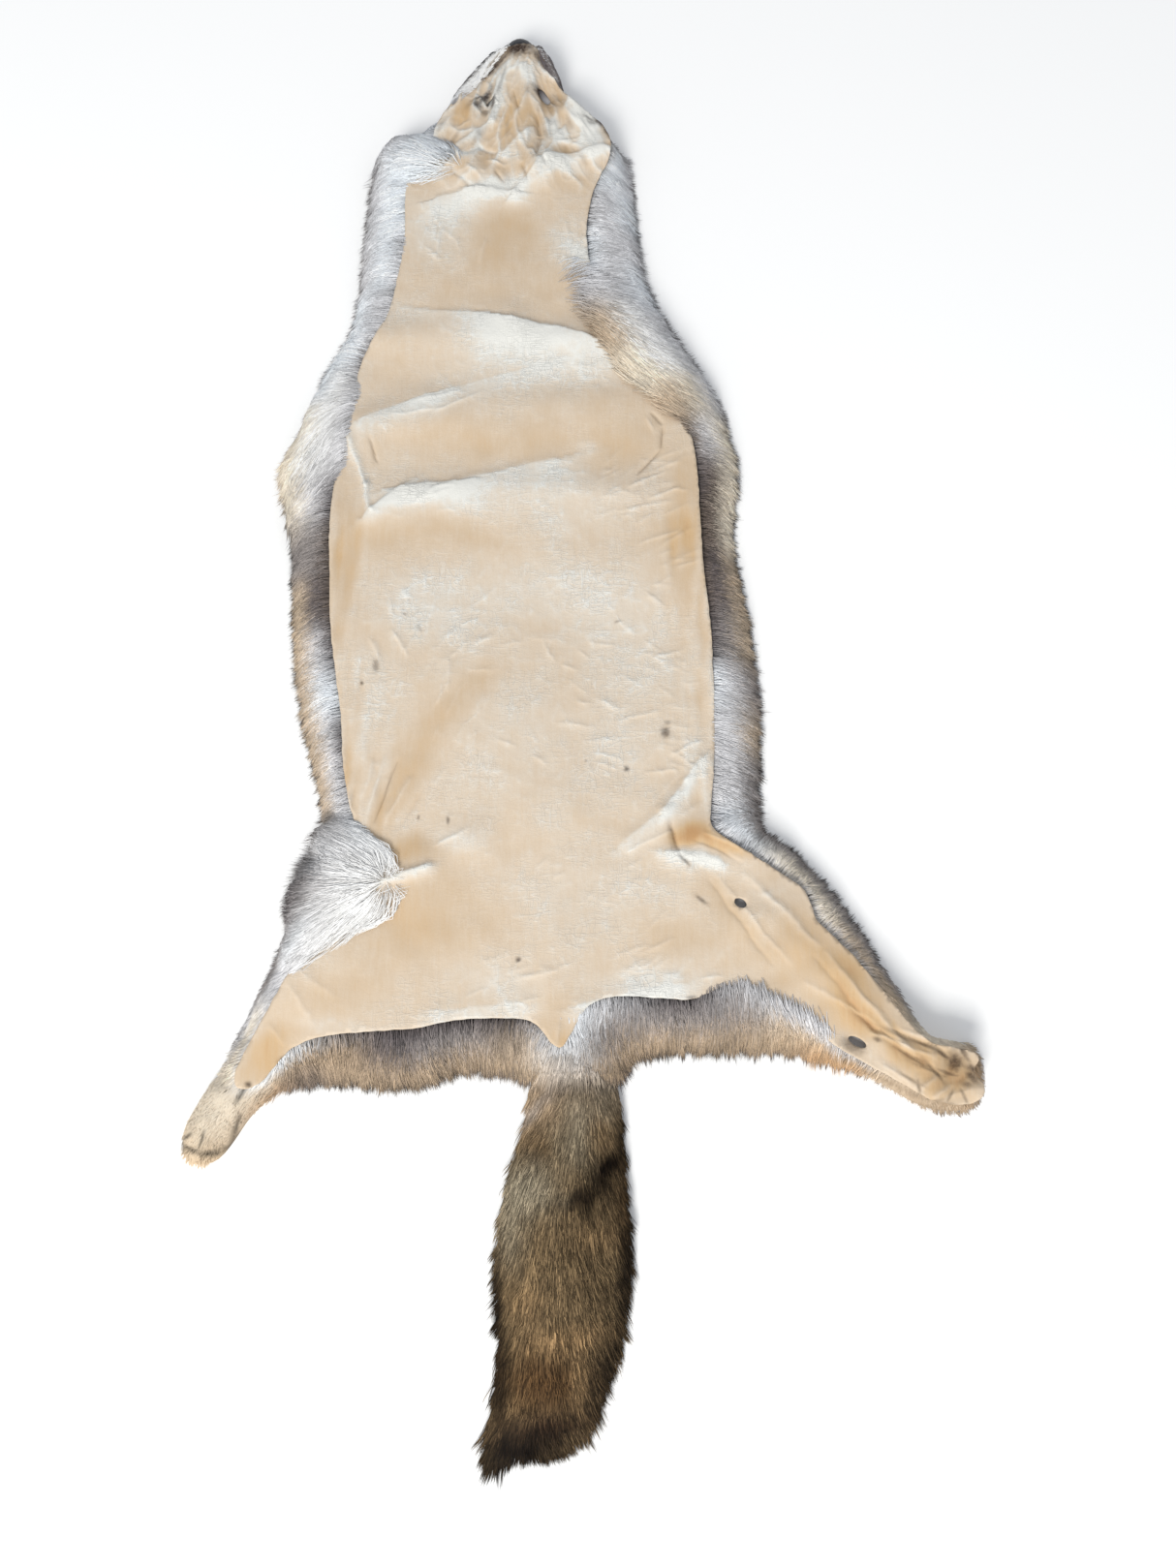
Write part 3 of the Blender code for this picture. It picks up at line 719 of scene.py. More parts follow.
height += dried * (0.7 * lumps(x, back, 20, 11) + 0.25 * lumps(x, back, 5, 12))
bearing = np.arctan2(x + 66, back + 46)
fan, near_nose = 130 * bearing, np.hypot(x + 66, back + 46)


def crest(size, stretch, seed):
    """Sharp crests with broad valleys, drawn out along the lines that fan from the nose."""
    bend = 4 * lumps(x, back, 26, seed + 70)
    field = lumps(fan + bend, near_nose / stretch + bend, size, seed)
    return np.clip(1 - np.abs(field) / 0.36, 0, 1) ** 2


crests = crest(15, 3.2, 41)
small_crests = crest(6, 4, 42)
height += dried * (2.0 * crests + 0.6 * small_crests)
# Painted highlight and shade: the crests of the head and foot are painted paler and the valleys between them
# darker.
tone += dried * np.where(back > 900, 0.35, 1) * (0.95 * crests + 0.30 * small_crests - 0.42)
stain_and_shade = np.maximum(stain_and_shade, 0.30 * dried * np.clip(lumps(fan, near_nose / 4, 7, 43) - 0.28, 0, 1) * 3)
to_edge = distance(corners[:, 0], corners[:, 1], skin_loop) / MM
along_trunk = 1 / (1 + np.exp((560 - back) / 20)) / (1 + np.exp((back - 890) / 14))
pleats = along_trunk * np.exp(-((to_edge / 34) ** 2)) * lumps(x + bend, back / 7, 8, 47)
height += 1.8 * pleats
# Painted highlight and shade: the raised pleats are painted paler and their dips darker.
tone += 0.7 * pleats
# The tone holds real chalky patches and the painted sheen and shade of folds and creases.
chalk_and_sheen = np.clip(tone + 0.3, 0, 1)
height += chalk_and_sheen * (0.16 * lumps(x, back, 8, 13) + 0.3 * vein(x, back, 24, 0.035, 45))
tone += 0.30 * chalk_and_sheen * vein(x, back, 24, 0.035, 45)
corners[:, 2] = height * MM
skin.data.vertices.foreach_set("co", corners.ravel())
mark(skin, "tone", np.clip(tone, -1.3, 1.3))
mark(skin, "stain_and_shade", stain_and_shade)
skin.data.update()

only(skin)
wall = skin.modifiers.new("wall", "SOLIDIFY")
wall.thickness = 1.3 * MM
wall.offset = -1
bpy.ops.object.modifier_apply(modifier=wall.name)
bpy.ops.object.shade_smooth()

# Tanned leather: the tone picks its colour, fine noise breaks the edge of each patch, and
# the grain is a low bump.
skin_finish, leather = finish_of("tanned_leather", linear(224, 196, 160), 0.78, 0.25)
nodes, links = skin_finish.node_tree.nodes, skin_finish.node_tree.links


def noise_node(nodes, links, scale, detail, roughness, stretch=(1, 1, 1), distortion=0, turn=0):
    """Noise on the piece's own coordinates, in metres."""
    spot = nodes.new("ShaderNodeTexCoord")
    turned = nodes.new("ShaderNodeMapping")
    turned.inputs["Scale"].default_value = stretch
    turned.inputs["Rotation"].default_value = (0, 0, math.radians(turn))
    made = nodes.new("ShaderNodeTexNoise")
    made.inputs["Scale"].default_value = scale
    made.inputs["Detail"].default_value = detail
    made.inputs["Roughness"].default_value = roughness
    made.inputs["Distortion"].default_value = distortion
    links.new(spot.outputs["Object"], turned.inputs["Vector"])
    links.new(turned.outputs["Vector"], made.inputs["Vector"])
    return made.outputs["Fac"]


def number(nodes, links, kind, *values, clamp=False):
    """The result of one sum on sockets or plain numbers."""
    made = nodes.new("ShaderNodeMath")
    made.operation = kind
    made.use_clamp = clamp
    for socket, value in zip(made.inputs, values):
        if isinstance(value, (int, float)):
            socket.default_value = value
        else:
            links.new(value, socket)
    return made.outputs[0]


def read(nodes, name, output="Fac"):
    made = nodes.new("ShaderNodeAttribute")
    made.attribute_name = name
    return made.outputs[output]


def thin_lines(nodes, links, scale, stretch, turn, power):
    """Bright thin lines where stretched noise passes its middle value."""
    made = noise_node(nodes, links, scale, 1.6, 0.5, stretch, 0.7, turn)
    made = number(nodes, links, "MULTIPLY_ADD", made, 2, -1)
    made = number(nodes, links, "ABSOLUTE", made)
    made = number(nodes, links, "SUBTRACT", 1, made)
    return number(nodes, links, "POWER", made, power)


mottle = noise_node(nodes, links, 80, 9, 0.66, distortion=0.3)
cloud = noise_node(nodes, links, 24, 3, 0.5)
streak = noise_node(nodes, links, 60, 4, 0.55, stretch=(4.5, 0.7, 1))
fine_streak = noise_node(nodes, links, 150, 3, 0.6, stretch=(5, 0.5, 1))
grain = noise_node(nodes, links, 420, 5, 0.7)
crinkle = thin_lines(nodes, links, 62, (0.6, 2.2, 1), 28, 34)
for scale, stretch, turn in ((74, (0.55, 2.4, 1), -34), (90, (2.2, 0.6, 1), 12)):
    more = thin_lines(nodes, links, scale, stretch, turn, 34)
    crinkle = number(nodes, links, "MAXIMUM", crinkle, more)
here_and_there = number(nodes, links, "MULTIPLY_ADD", cloud, 4.5, -1.8, clamp=True)
crinkle = number(nodes, links, "MULTIPLY", crinkle, here_and_there)
tone_value = read(nodes, "tone")
# Paleness read from the tone: real chalky patches and painted sheen together.
rubbed_and_sheen = number(nodes, links, "MULTIPLY_ADD", tone_value, 0.8, 0.32, clamp=True)
spread = number(nodes, links, "SUBTRACT", mottle, 0.5)
spread = number(nodes, links, "MULTIPLY", spread, rubbed_and_sheen)
lines = number(nodes, links, "MULTIPLY_ADD", streak, 0.36, -0.18)
lines = number(nodes, links, "MULTIPLY_ADD", fine_streak, 0.3, lines)
lines = number(nodes, links, "ADD", lines, -0.15)
clouds = number(nodes, links, "MULTIPLY_ADD", cloud, 0.6, -0.3)
folds_seen = number(nodes, links, "MULTIPLY", crinkle, rubbed_and_sheen)
shade = number(nodes, links, "MULTIPLY_ADD", spread, 0.65, tone_value)
shade = number(nodes, links, "ADD", shade, lines)
shade = number(nodes, links, "ADD", shade, clouds)
shade = number(nodes, links, "MULTIPLY_ADD", folds_seen, 0.7, shade)
shade = number(nodes, links, "MULTIPLY_ADD", shade, 0.4, 0.46, clamp=True)
ramp = nodes.new("ShaderNodeValToRGB")
links.new(shade, ramp.inputs["Fac"])
SKIN_TONES = [
    (0.0, (186, 146, 104)),
    (0.2, (200, 170, 132)),
    (0.38, (203, 181, 154)),
    (0.52, (210, 192, 170)),
    (0.68, (215, 203, 187)),
    (0.92, (223, 222, 216)),
]
while len(ramp.color_ramp.elements) < len(SKIN_TONES):
    ramp.color_ramp.elements.new(0.5)
for element, (at, colour) in zip(ramp.color_ramp.elements, SKIN_TONES):
    element.position = at
    element.color = (*linear(*colour), 1)
# The dark colour holds real marks and also the painted shade in deep furrows.
stained_and_shaded = nodes.new("ShaderNodeMix")
stained_and_shaded.data_type = "RGBA"
stain_and_shade_edge = number(nodes, links, "MULTIPLY_ADD", grain, 0.9, 0.55)
stain_and_shade_share = number(nodes, links, "MULTIPLY", read(nodes, "stain_and_shade"), stain_and_shade_edge, clamp=True)
links.new(stain_and_shade_share, stained_and_shaded.inputs["Factor"])
links.new(ramp.outputs["Color"], stained_and_shaded.inputs["A"])
stained_and_shaded.inputs["B"].default_value = (*linear(58, 44, 38), 1)
links.new(stained_and_shaded.outputs["Result"], leather.inputs["Base Color"])
bump = nodes.new("ShaderNodeBump")
bump.inputs["Distance"].default_value = 1.3 * MM
bump.inputs["Strength"].default_value = 0.7
crumple = number(nodes, links, "MULTIPLY", mottle, rubbed_and_sheen)
crumple = number(nodes, links, "MULTIPLY_ADD", folds_seen, 0.5, crumple)
relief = number(nodes, links, "MULTIPLY_ADD", grain, 0.2, crumple)
links.new(relief, bump.inputs["Height"])
links.new(bump.outputs["Normal"], leather.inputs["Normal"])
skin.data.materials.append(skin_finish)
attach(skin, "root")
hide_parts("hide")

# The winter coat. Under the skin and past its edge lies dense underfur, and guard hairs
# lie over that in tufts, combed outwards and towards the tail. First the underfur, a soft
# slab that is set back from the tips.
SHADES = {
    "lilac": (236, 241, 246),
    "white": (246, 245, 243),
    "silver": (214, 213, 215),
    "grey": (146, 139, 136),
    "slate": (104, 97, 98),
    "taupe": (112, 100, 92),
    "cream": (234, 222, 202),
    "pad": (222, 192, 152),
    "fawn": (194, 174, 150),
    "hazel": (160, 139, 115),
    "rust": (186, 150, 112),
    "dusk": (84, 76, 74),
    "soot": (48, 42, 40),
    "black": (24, 22, 24),
}

# The coat's colours: x, back, next to the skin, half way out, at the rim, and hair tips.
COAT_SHADES = [
    (-104, 34, "white", "white", "black", "black"),
    (-124, 66, "white", "white", "dusk", "dusk"),
    (-150, 98, "slate", "lilac", "dusk", "dusk"),
    (-34, 40, "slate", "grey", "slate", "grey"),
    (-4, 92, "silver", "grey", "slate", "grey"),
    (30, 128, "cream", "taupe", "dusk", "soot"),
    (-190, 150, "lilac", "lilac", "silver", "dusk"),
    (-205, 220, "lilac", "lilac", "silver", "dusk"),
    (-206, 290, "silver", "lilac", "silver", "dusk"),
    (-215, 360, "silver", "silver", "lilac", "dusk"),
    (-222, 392, "grey", "lilac", "lilac", "dusk"),
    (-240, 440, "silver", "white", "lilac", "dusk"),
    (-255, 490, "silver", "white", "cream", "dusk"),
    (-272, 525, "silver", "white", "cream", "fawn"),
    (-262, 560, "slate", "silver", "cream", "dusk"),
    (-256, 610, "taupe", "grey", "grey", "soot"),
    (-254, 670, "taupe", "slate", "fawn", "soot"),
    (-250, 715, "slate", "silver", "fawn", "soot"),
    (-246, 755, "lilac", "lilac", "fawn", "soot"),
    (-236, 800, "slate", "silver", "fawn", "soot"),
    (-222, 845, "silver", "silver", "fawn", "dusk"),
    (-215, 890, "lilac", "silver", "grey", "dusk"),
    (-230, 925, "silver", "silver", "grey", "soot"),
    (-243, 946, "silver", "grey", "slate", "soot"),
    (-190, 925, "white", "white", "white", "white"),
    (-206, 948, "white", "white", "white", "silver"),
    (-212, 902, "white", "white", "lilac", "dusk"),
    (-226, 976, "white", "white", "lilac", "dusk"),
    (-244, 970, "silver", "lilac", "grey", "slate"),
    (-262, 1010, "silver", "silver", "grey", "slate"),
    (-284, 1060, "silver", "cream", "silver", "dusk"),
    (-300, 1092, "cream", "cream", "cream", "cream"),
    (-312, 1124, "cream", "cream", "cream", "cream"),
    (-288, 1124, "fawn", "cream", "fawn", "fawn"),
    (-322, 1142, "cream", "cream", "fawn", "fawn"),
    (-312, 1160, "pad", "pad", "pad", "fawn"),
    (-272, 1096, "lilac", "fawn", "rust", "taupe"),
    (-240, 1080, "lilac", "hazel", "taupe", "dusk"),
    (-200, 1070, "grey", "hazel", "hazel", "soot"),
    (-160, 1068, "slate", "slate", "hazel", "soot"),
    (-125, 1065, "slate", "grey", "hazel", "soot"),
    (-85, 1060, "slate", "grey", "hazel", "dusk"),
    (-55, 1058, "slate", "hazel", "hazel", "taupe"),
    (-34, 1072, "silver", "fawn", "hazel", "taupe"),
    (-20, 1080, "lilac", "lilac", "hazel", "taupe"),
    (6, 1058, "lilac", "grey", "hazel", "dusk"),
    (30, 1042, "silver", "grey", "hazel", "dusk"),
    (60, 1045, "slate", "grey", "hazel", "soot"),
    (100, 1046, "slate", "grey", "hazel", "soot"),
    (135, 1040, "silver", "grey", "hazel", "soot"),
    (170, 1052, "silver", "fawn", "hazel", "dusk"),
    (210, 1072, "silver", "hazel", "rust", "taupe"),
    (262, 1098, "fawn", "hazel", "fawn", "taupe"),
    (300, 1116, "hazel", "fawn", "hazel", "taupe"),
    (332, 1090, "hazel", "rust", "hazel", "taupe"),
    (300, 1052, "cream", "cream", "cream", "fawn"),
    (270, 1020, "fawn", "fawn", "grey", "dusk"),
    (240, 980, "silver", "fawn", "grey", "soot"),
    (212, 940, "silver", "cream", "grey", "soot"),
    (180, 905, "silver", "cream", "grey", "soot"),
    (150, 880, "silver", "lilac", "grey", "dusk"),
    (138, 830, "silver", "silver", "grey", "soot"),
    (136, 785, "silver", "silver", "fawn", "soot"),
    (140, 748, "lilac", "silver", "grey", "dusk"),
    (136, 700, "slate", "grey", "fawn", "soot"),
    (130, 640, "taupe", "slate", "fawn", "soot"),
    (126, 580, "taupe", "taupe", "cream", "soot"),
    (126, 530, "slate", "taupe", "cream", "dusk"),
    (124, 490, "taupe", "silver", "cream", "dusk"),
    (108, 445, "fawn", "cream", "silver", "dusk"),
    (74, 405, "cream", "white", "silver", "dusk"),
    (44, 362, "fawn", "white", "silver", "dusk"),
    (38, 320, "silver", "silver", "lilac", "dusk"),
    (32, 270, "lilac", "silver", "silver", "dusk"),
    (30, 220, "silver", "silver", "lilac", "soot"),
    (36, 180, "lilac", "lilac", "silver", "dusk"),
    (36, 156, "silver", "lilac", "silver", "dusk"),
]

# Where the fur swells over the skin's edge: x, back, reach in mm along the edge, share.
SWELLS = [
    (-160, 152, 24, 1.0),
    (-180, 190, 26, 0.5),
    (-186, 270, 50, 0.4),
    (-190, 360, 26, 0.6),
    (-228, 440, 26, 0.8),
    (-234, 500, 36, 0.8),
    (20, 345, 30, 0.7),
    (32, 378, 30, 1.0),
    (60, 412, 26, 0.8),
    (96, 450, 26, 0.5),
    (26, 170, 30, 0.4),
    (112, 780, 50, 0.5),
    (-212, 900, 24, 0.9),
    (-190, 905, 26, 1.0),
    (-200, 950, 26, 1.0),
    (-236, 1000, 30, 0.5),
    (-252, 1072, 20, 0.5),
    (-20, 1060, 16, 0.4),
    (150, 1036, 24, 0.5),
    (190, 1060, 20, 0.4),
]

# Where the hair runs another way than outwards: x, back, reach, and its run in x and back.
COMBED = [
    (98, 440, 36, 0.85, 0.5, 0.6),
    (-270, 1030, 36, -0.5, 0.85, 0.9),
    (-306, 1120, 46, -0.55, 0.84, 1.0),
    (-262, 1100, 26, -0.7, 0.7, 0.9),
    (-18, 1086, 30, -0.15, 1.0, 1.0),
    (120, 1040, 40, -0.1, 1.0, 0.7),
    (18, 1066, 26, -0.1, 1.0, 0.8),
    (-60, 1076, 24, 0.15, 1.0, 0.6),
    (270, 1020, 40, 0.6, 0.8, 0.8),
    (300, 1080, 44, 0.8, 0.6, 1.0),
]

# Lobes of fur that lie over the skin: x, back, half width, half length, turn, rise, then
# the x and back that their hair runs away from, and how long it is against the rest.
LOBES = [
    (-172, 164, 38, 20, -17, 9, -130, 180, 1.25),
    (40, 384, 24, 84, 34, 8, -34, 322, 1.2),
    (-256, 505, 20, 60, -14, 7, -206, 424, 1.2),
    (-210, 926, 42, 36, 0, 9, -172, 926, 1.5),
    (-226, 964, 17, 30, -34, 6, -172, 926, 1.2),
    (60, 1036, 62, 9, 0, 3, 50, 860, 1.0),
    (128, 1027, 24, 17, 20, 4, 118, 860, 1.0),
    (160, 1034, 42, 14, -18, 4, 118, 860, 1.1),
    (-108, 48, 9, 48, -32, 2, -70, 0, 0.8),
    (-40, 38, 7, 20, 26, 2, -58, 8, 0.7),
]

# The left paw under its short fur: x, back, half width, half length, turn, rise.
PAW_LUMPS = [
    (-320, 1136, 9, 14, -22, 4.2),
    (-303, 1138, 10, 15, -12, 4.4),
    (-312, 1158, 22, 8, -6, 4.0),
    (-286, 1128, 6, 20, -34, 2.2),
    (-300, 1100, 12, 30, -36, 2.4),
]

# Its furrows: x and back at each end, half width, depth.
PAW_FURROWS = [
    (-330, 1144, -312, 1149, 2.4, 3.6),
    (-316, 1149, -298, 1150, 2.4, 3.6),
    (-302, 1150, -286, 1141, 2.2, 3.2),
    (-313, 1147, -309, 1130, 1.4, 1.2),
    (-332, 1140, -318, 1132, 1.6, 2.0),
    (-334, 1136, -328, 1150, 2.2, 3.4),
    (-292, 1146, -282, 1116, 1.7, 2.6),
    (-288, 1112, -272, 1084, 1.8, 2.2),
]

coat_loop = eased(outlines("coat", faces_up=False)[0], 7 * MM, 1.5 * MM)
tail_loop = eased(outlines("tail", faces_up=False)[0], 7 * MM, 1.5 * MM)
under_skin = inside(over_x, over_y, skin_loop)
in_coat = inside(over_x, over_y, coat_loop)
to_skin = distance(over_x, over_y, evenly(skin_loop, 1.5 * MM))
to_rim = distance(over_x, over_y, coat_loop)
FAR = 40 * MM
out_share = np.where(in_coat, to_skin / (to_skin + to_rim), 1 + to_rim / FAR)
out_share = np.where(under_skin, -to_skin / FAR, out_share)
rim_width = np.clip(to_skin + to_rim, 8 * MM, 60 * MM)
x, back = measures(over_x, over_y)
swell = np.zeros(over_x.shape)
for px, pback, reach, amount in SWELLS:
    swell = np.maximum(swell, amount * in_patch(x, back, px, pback, reach, reach, 0))
swell = blur(swell, 6 * MM)

coat_level, on_coat = level_of("coat")
tail_level, on_tail = level_of("tail")
TUCK = 5 * MM  # how far the fur lies below the skin's edge where it doesn't swell
fur_level = np.maximum(coat_level, tail_level)
fur_level -= TUCK * (1 - swell) * np.exp(-((to_skin / (9 * MM)) ** 2))
under = hide_level - 3.2 * MM + 5.2 * MM * swell
fur_level = np.where(under_skin, under, np.maximum(fur_level, 0))
bed = blur(fur_level, 3 * MM)
lobe = np.zeros(over_x.shape)
lobe_long = np.ones(over_x.shape)
for px, pback, half_width, half_length, turn, rise, _, _, longer in LOBES:
    here = in_patch(x, back, px, pback, half_width, half_length, turn)
    lobe = np.maximum(lobe, here)
    lobe_long = np.maximum(lobe_long, 1 + (longer - 1) * here) if longer > 1 else lobe_long
    lifted = hide_level + rise * MM * np.sqrt(here)
    fur_level = np.where(here > 0.05, np.maximum(fur_level, lifted), fur_level)
fur_level = blur(fur_level, 3 * MM)
slope_y, slope_x = np.gradient(blur(fur_level, 5 * MM), CELL)

run_y, run_x = np.gradient(blur(out_share, 5 * MM), CELL)
length = np.hypot(run_x, run_y) + 1e-9
run_x = run_x / length + 0.42 * lumps(over_x, over_y, 30 * MM, 71)
run_y = run_y / length - 0.22 + 0.25 * lumps(over_x, over_y, 24 * MM, 72)
for px, pback, reach, dx, dback, amount in COMBED:
    here = amount * in_patch(x, back, px, pback, reach, reach, 0)
    run_x = run_x * (1 - here) + dx * here
    run_y = run_y * (1 - here) - dback * here
for px, pback, half_width, half_length, turn, _, from_x, from_back, _ in LOBES:
    here = np.sqrt(in_patch(x, back, px, pback, half_width * 1.15, half_length * 1.15, turn))
    dx, dback = x - from_x, back - from_back
    away = np.hypot(dx, dback) + 1e-9
    run_x = run_x * (1 - here) + dx / away * here
    run_y = run_y * (1 - here) - dback / away * here
run_x, run_y = blur(run_x, 2.5 * MM), blur(run_y, 2.5 * MM)
bare = in_patch(x, back, -306, 1126, 40, 50, -30)
bare = np.maximum(bare, in_patch(x, back, 300, 1086, 46, 38, -30))
bare = np.maximum(bare, in_patch(x, back, 268, 1106, 13, 50, 57))
bare = np.maximum(bare, 0.55 * (back < 116))


def furrow_of(x, back):
    """1 in the paw's furrows, and their depth in millimetres."""
    shade, depth = np.zeros(x.shape), np.zeros(x.shape)
    near_paw = (x < -250) & (back > 1060)
    if not near_paw.any():
        return shade, depth
    px, pback = x[near_paw], back[near_paw]
    bend = 1.6 * lumps(px, pback, 9, 61)
    for x1, back1, x2, back2, half_width, deep in PAW_FURROWS:
        away, _, along = across_line(px + bend, pback - bend, x1, back1, x2, back2)
        line = np.exp(-((away / half_width) ** 2)) * np.sqrt(np.sin(math.pi * along))
        shade[near_paw] = np.maximum(shade[near_paw], line)
        depth[near_paw] = np.maximum(depth[near_paw], deep * line)
    return shade, depth


def ground(x, y, level):
    """The height that the hair lies on: that level, with the left paw modelled in it."""
    height = sample(level, x, y)
    x, back = measures(x, y)
    rise = -furrow_of(x, back)[1]
    for px, pback, half_width, half_length, turn, amount in PAW_LUMPS:
        rise = rise + amount * in_patch(x, back, px, pback, half_width, half_length, turn)
    return height + rise * MM


def soft_slab(name, loop, sink, finish, extra):
    """A closed body that stands on the floor inside the loop, set below the hair by the sink."""
    spots = spread_spots(7 * MM, loop.min(0), loop.max(0))
    if len(extra):
        spots = np.vstack([spots[distance(*spots.T, extra) > 4 * MM], extra])
    spots = spots[inside(*spots.T, loop)]
    spots = spots[distance(*spots.T, loop) > 2.5 * MM]
    slab = net(name, [loop], spots)
    body = bmesh.new()
    body.from_mesh(slab.data)
    raised = bmesh.ops.extrude_face_region(body, geom=body.faces[:])["geom"]
    upper = [item for item in raised if isinstance(item, bmesh.types.BMVert)]
    at = np.array([corner.co for corner in upper])
    x, y = at[:, 0], at[:, 1]
    depth = sink * (1 - 0.85 * sample(bare, x, y))
    heights = ground(x, y, bed) - depth + 0.35 * depth * lumps(x, y, 9 * MM, 21)
    for corner, z in zip(upper, heights):
        corner.co.z = max(z, 1 * MM)
    bmesh.ops.recalc_face_normals(body, faces=body.faces[:])
    body.to_mesh(slab.data)
    body.free()
    slab.data.shade_smooth()
    slab.data.materials.append(finish)
    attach(slab, "root")
    return slab


def pulled_in(loop, by):
    """The loop moved inwards by a distance for each point."""
    ahead = np.roll(loop, -1, 0) - np.roll(loop, 1, 0)
    normal = np.column_stack([ahead[:, 1], -ahead[:, 0]])
    normal /= np.hypot(*normal.T)[:, None]
    if inside(*(loop[:1] + normal[:1] * 0.5 * MM).T, loop)[0]:
        normal = -normal
    moved = loop - normal * by[:, None]
    return eased(moved, 6 * MM, 6 * MM)


def tinted(name, roughness=0.75, specular=0.2):
    """A material whose colour is the piece's own tint."""
    made, shader = finish_of(name, (0.5, 0.5, 0.5), roughness, specular)
    made.node_tree.links.new(
        read(made.node_tree.nodes, "tint", "Color"), shader.inputs["Base Color"]
    )
    return made


def tint(obj, colours):
    """Stores one colour for each vertex."""
    layer = obj.data.color_attributes.new("tint", "FLOAT_COLOR", "POINT")
    full = np.column_stack([np.clip(colours, 0, 1), np.ones(len(colours))])
    layer.data.foreach_set("color", full.ravel())


def coat_tints(x, y, share):
    """The coat's colour there, and the colour of its hair tips."""
    x, back = measures(x, y)
    total = np.zeros((len(x), 1))
    bands = [np.zeros((len(x), 3)) for _ in range(4)]
    for px, pback, *names in COAT_SHADES:
        near = np.exp(-((x - px) ** 2 + (back - pback) ** 2) / (2 * 17**2)) + 1e-12
        near = near[:, None]
        total += near
        for band, name in zip(bands, names):
            band += near * linear(*SHADES[name])
    inner, middle, outer, tips = (band / total for band in bands)
    s = np.clip(share, 0, 1)[:, None]
    first = np.clip(s / 0.42, 0, 1)
    second = np.clip((s - 0.42) / 0.46, 0, 1)
    return (inner * (1 - first) + middle * first) * (1 - second) + outer * second, tips


underfur_finish = tinted("underfur", 0.95, 0.05)
set_back = np.clip(sample(to_skin, *coat_loop.T) * 0.24, 1 * MM, 12 * MM)
set_back *= 1 - 0.9 * sample(bare, *coat_loop.T)
paw_spots = spread_spots(2 * MM, (-337 * MM, NOSE_TIP - 1168 * MM), (-262 * MM, NOSE_TIP - 1076 * MM))
underfur = soft_slab(
    "underfur", pulled_in(coat_loop, set_back), 3.5 * MM, underfur_finish, paw_spots
)
at = corners_of(underfur)
colours = coat_tints(at[:, 0], at[:, 1], sample(out_share, at[:, 0], at[:, 1]))[0]
# Painted shade: the underfur is darkened where the guard hairs cover it, less where the hair is short.
colours *= 0.66 + 0.3 * sample(bare, at[:, 0], at[:, 1])[:, None]
# Painted shade: the paw's furrows are darkened.
colours *= 1 - 0.72 * furrow_of(*measures(at[:, 0], at[:, 1]))[0][:, None]
tint(underfur, colours)
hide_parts("coat")

# The guard hairs. Each is a narrow blade that lies along the coat, tapers at both ends and
# leans towards the tip of its tuft.
SEED = 11
RINGS = np.array([0, 0.34, 0.7, 1.0])
BLADE = np.array([0.55, 1.0, 0.75, 0.0])
ROUNDED = 0.45  # how far a blade's normals lean to its sides, as a round hair's do
chance = np.random.default_rng(SEED)
hair_finish = tinted("guard_hair", 0.62, 0.3)


def grow(x, y, reach, run, lift):
    """The path of each hair: it starts at x and y and follows the run over the ground."""
    path = np.empty((len(x), len(RINGS), 3))
    stray = chance.normal(0, 0.16, len(x))
    for ring, share in enumerate(RINGS):
        if ring:
            step = reach * (share - RINGS[ring - 1])
            ahead_x, ahead_y = run(x, y)
            size = np.hypot(ahead_x, ahead_y) + 1e-9
            c, s = np.cos(stray), np.sin(stray)
            x = x + step * (ahead_x * c - ahead_y * s) / size
            y = y + step * (ahead_x * s + ahead_y * c) / size
        path[:, ring] = np.column_stack([x, y, ground(x, y, fur_level) + lift[:, ring]])
    return path


def tufts(roots, count):
    """The leader of each tuft, and the tuft that each hair belongs to."""
    leaders = chance.choice(len(roots), count, replace=False)
    tree = kdtree.KDTree(count)
    for index, leader in enumerate(leaders):
        tree.insert((*roots[leader], 0), index)
    tree.balance()
    return leaders, np.array([tree.find((px, py, 0))[1] for px, py in roots])


def drawn_together(path, leaders, tuft_of, pull):
    """The hairs leaning towards the leader of their tuft, most at the tips."""
    gap = path[leaders[tuft_of]] - path
    gap[:, :, 2] *= 0.4
    return path + gap * pull * (RINGS**1.4)[None, :, None]


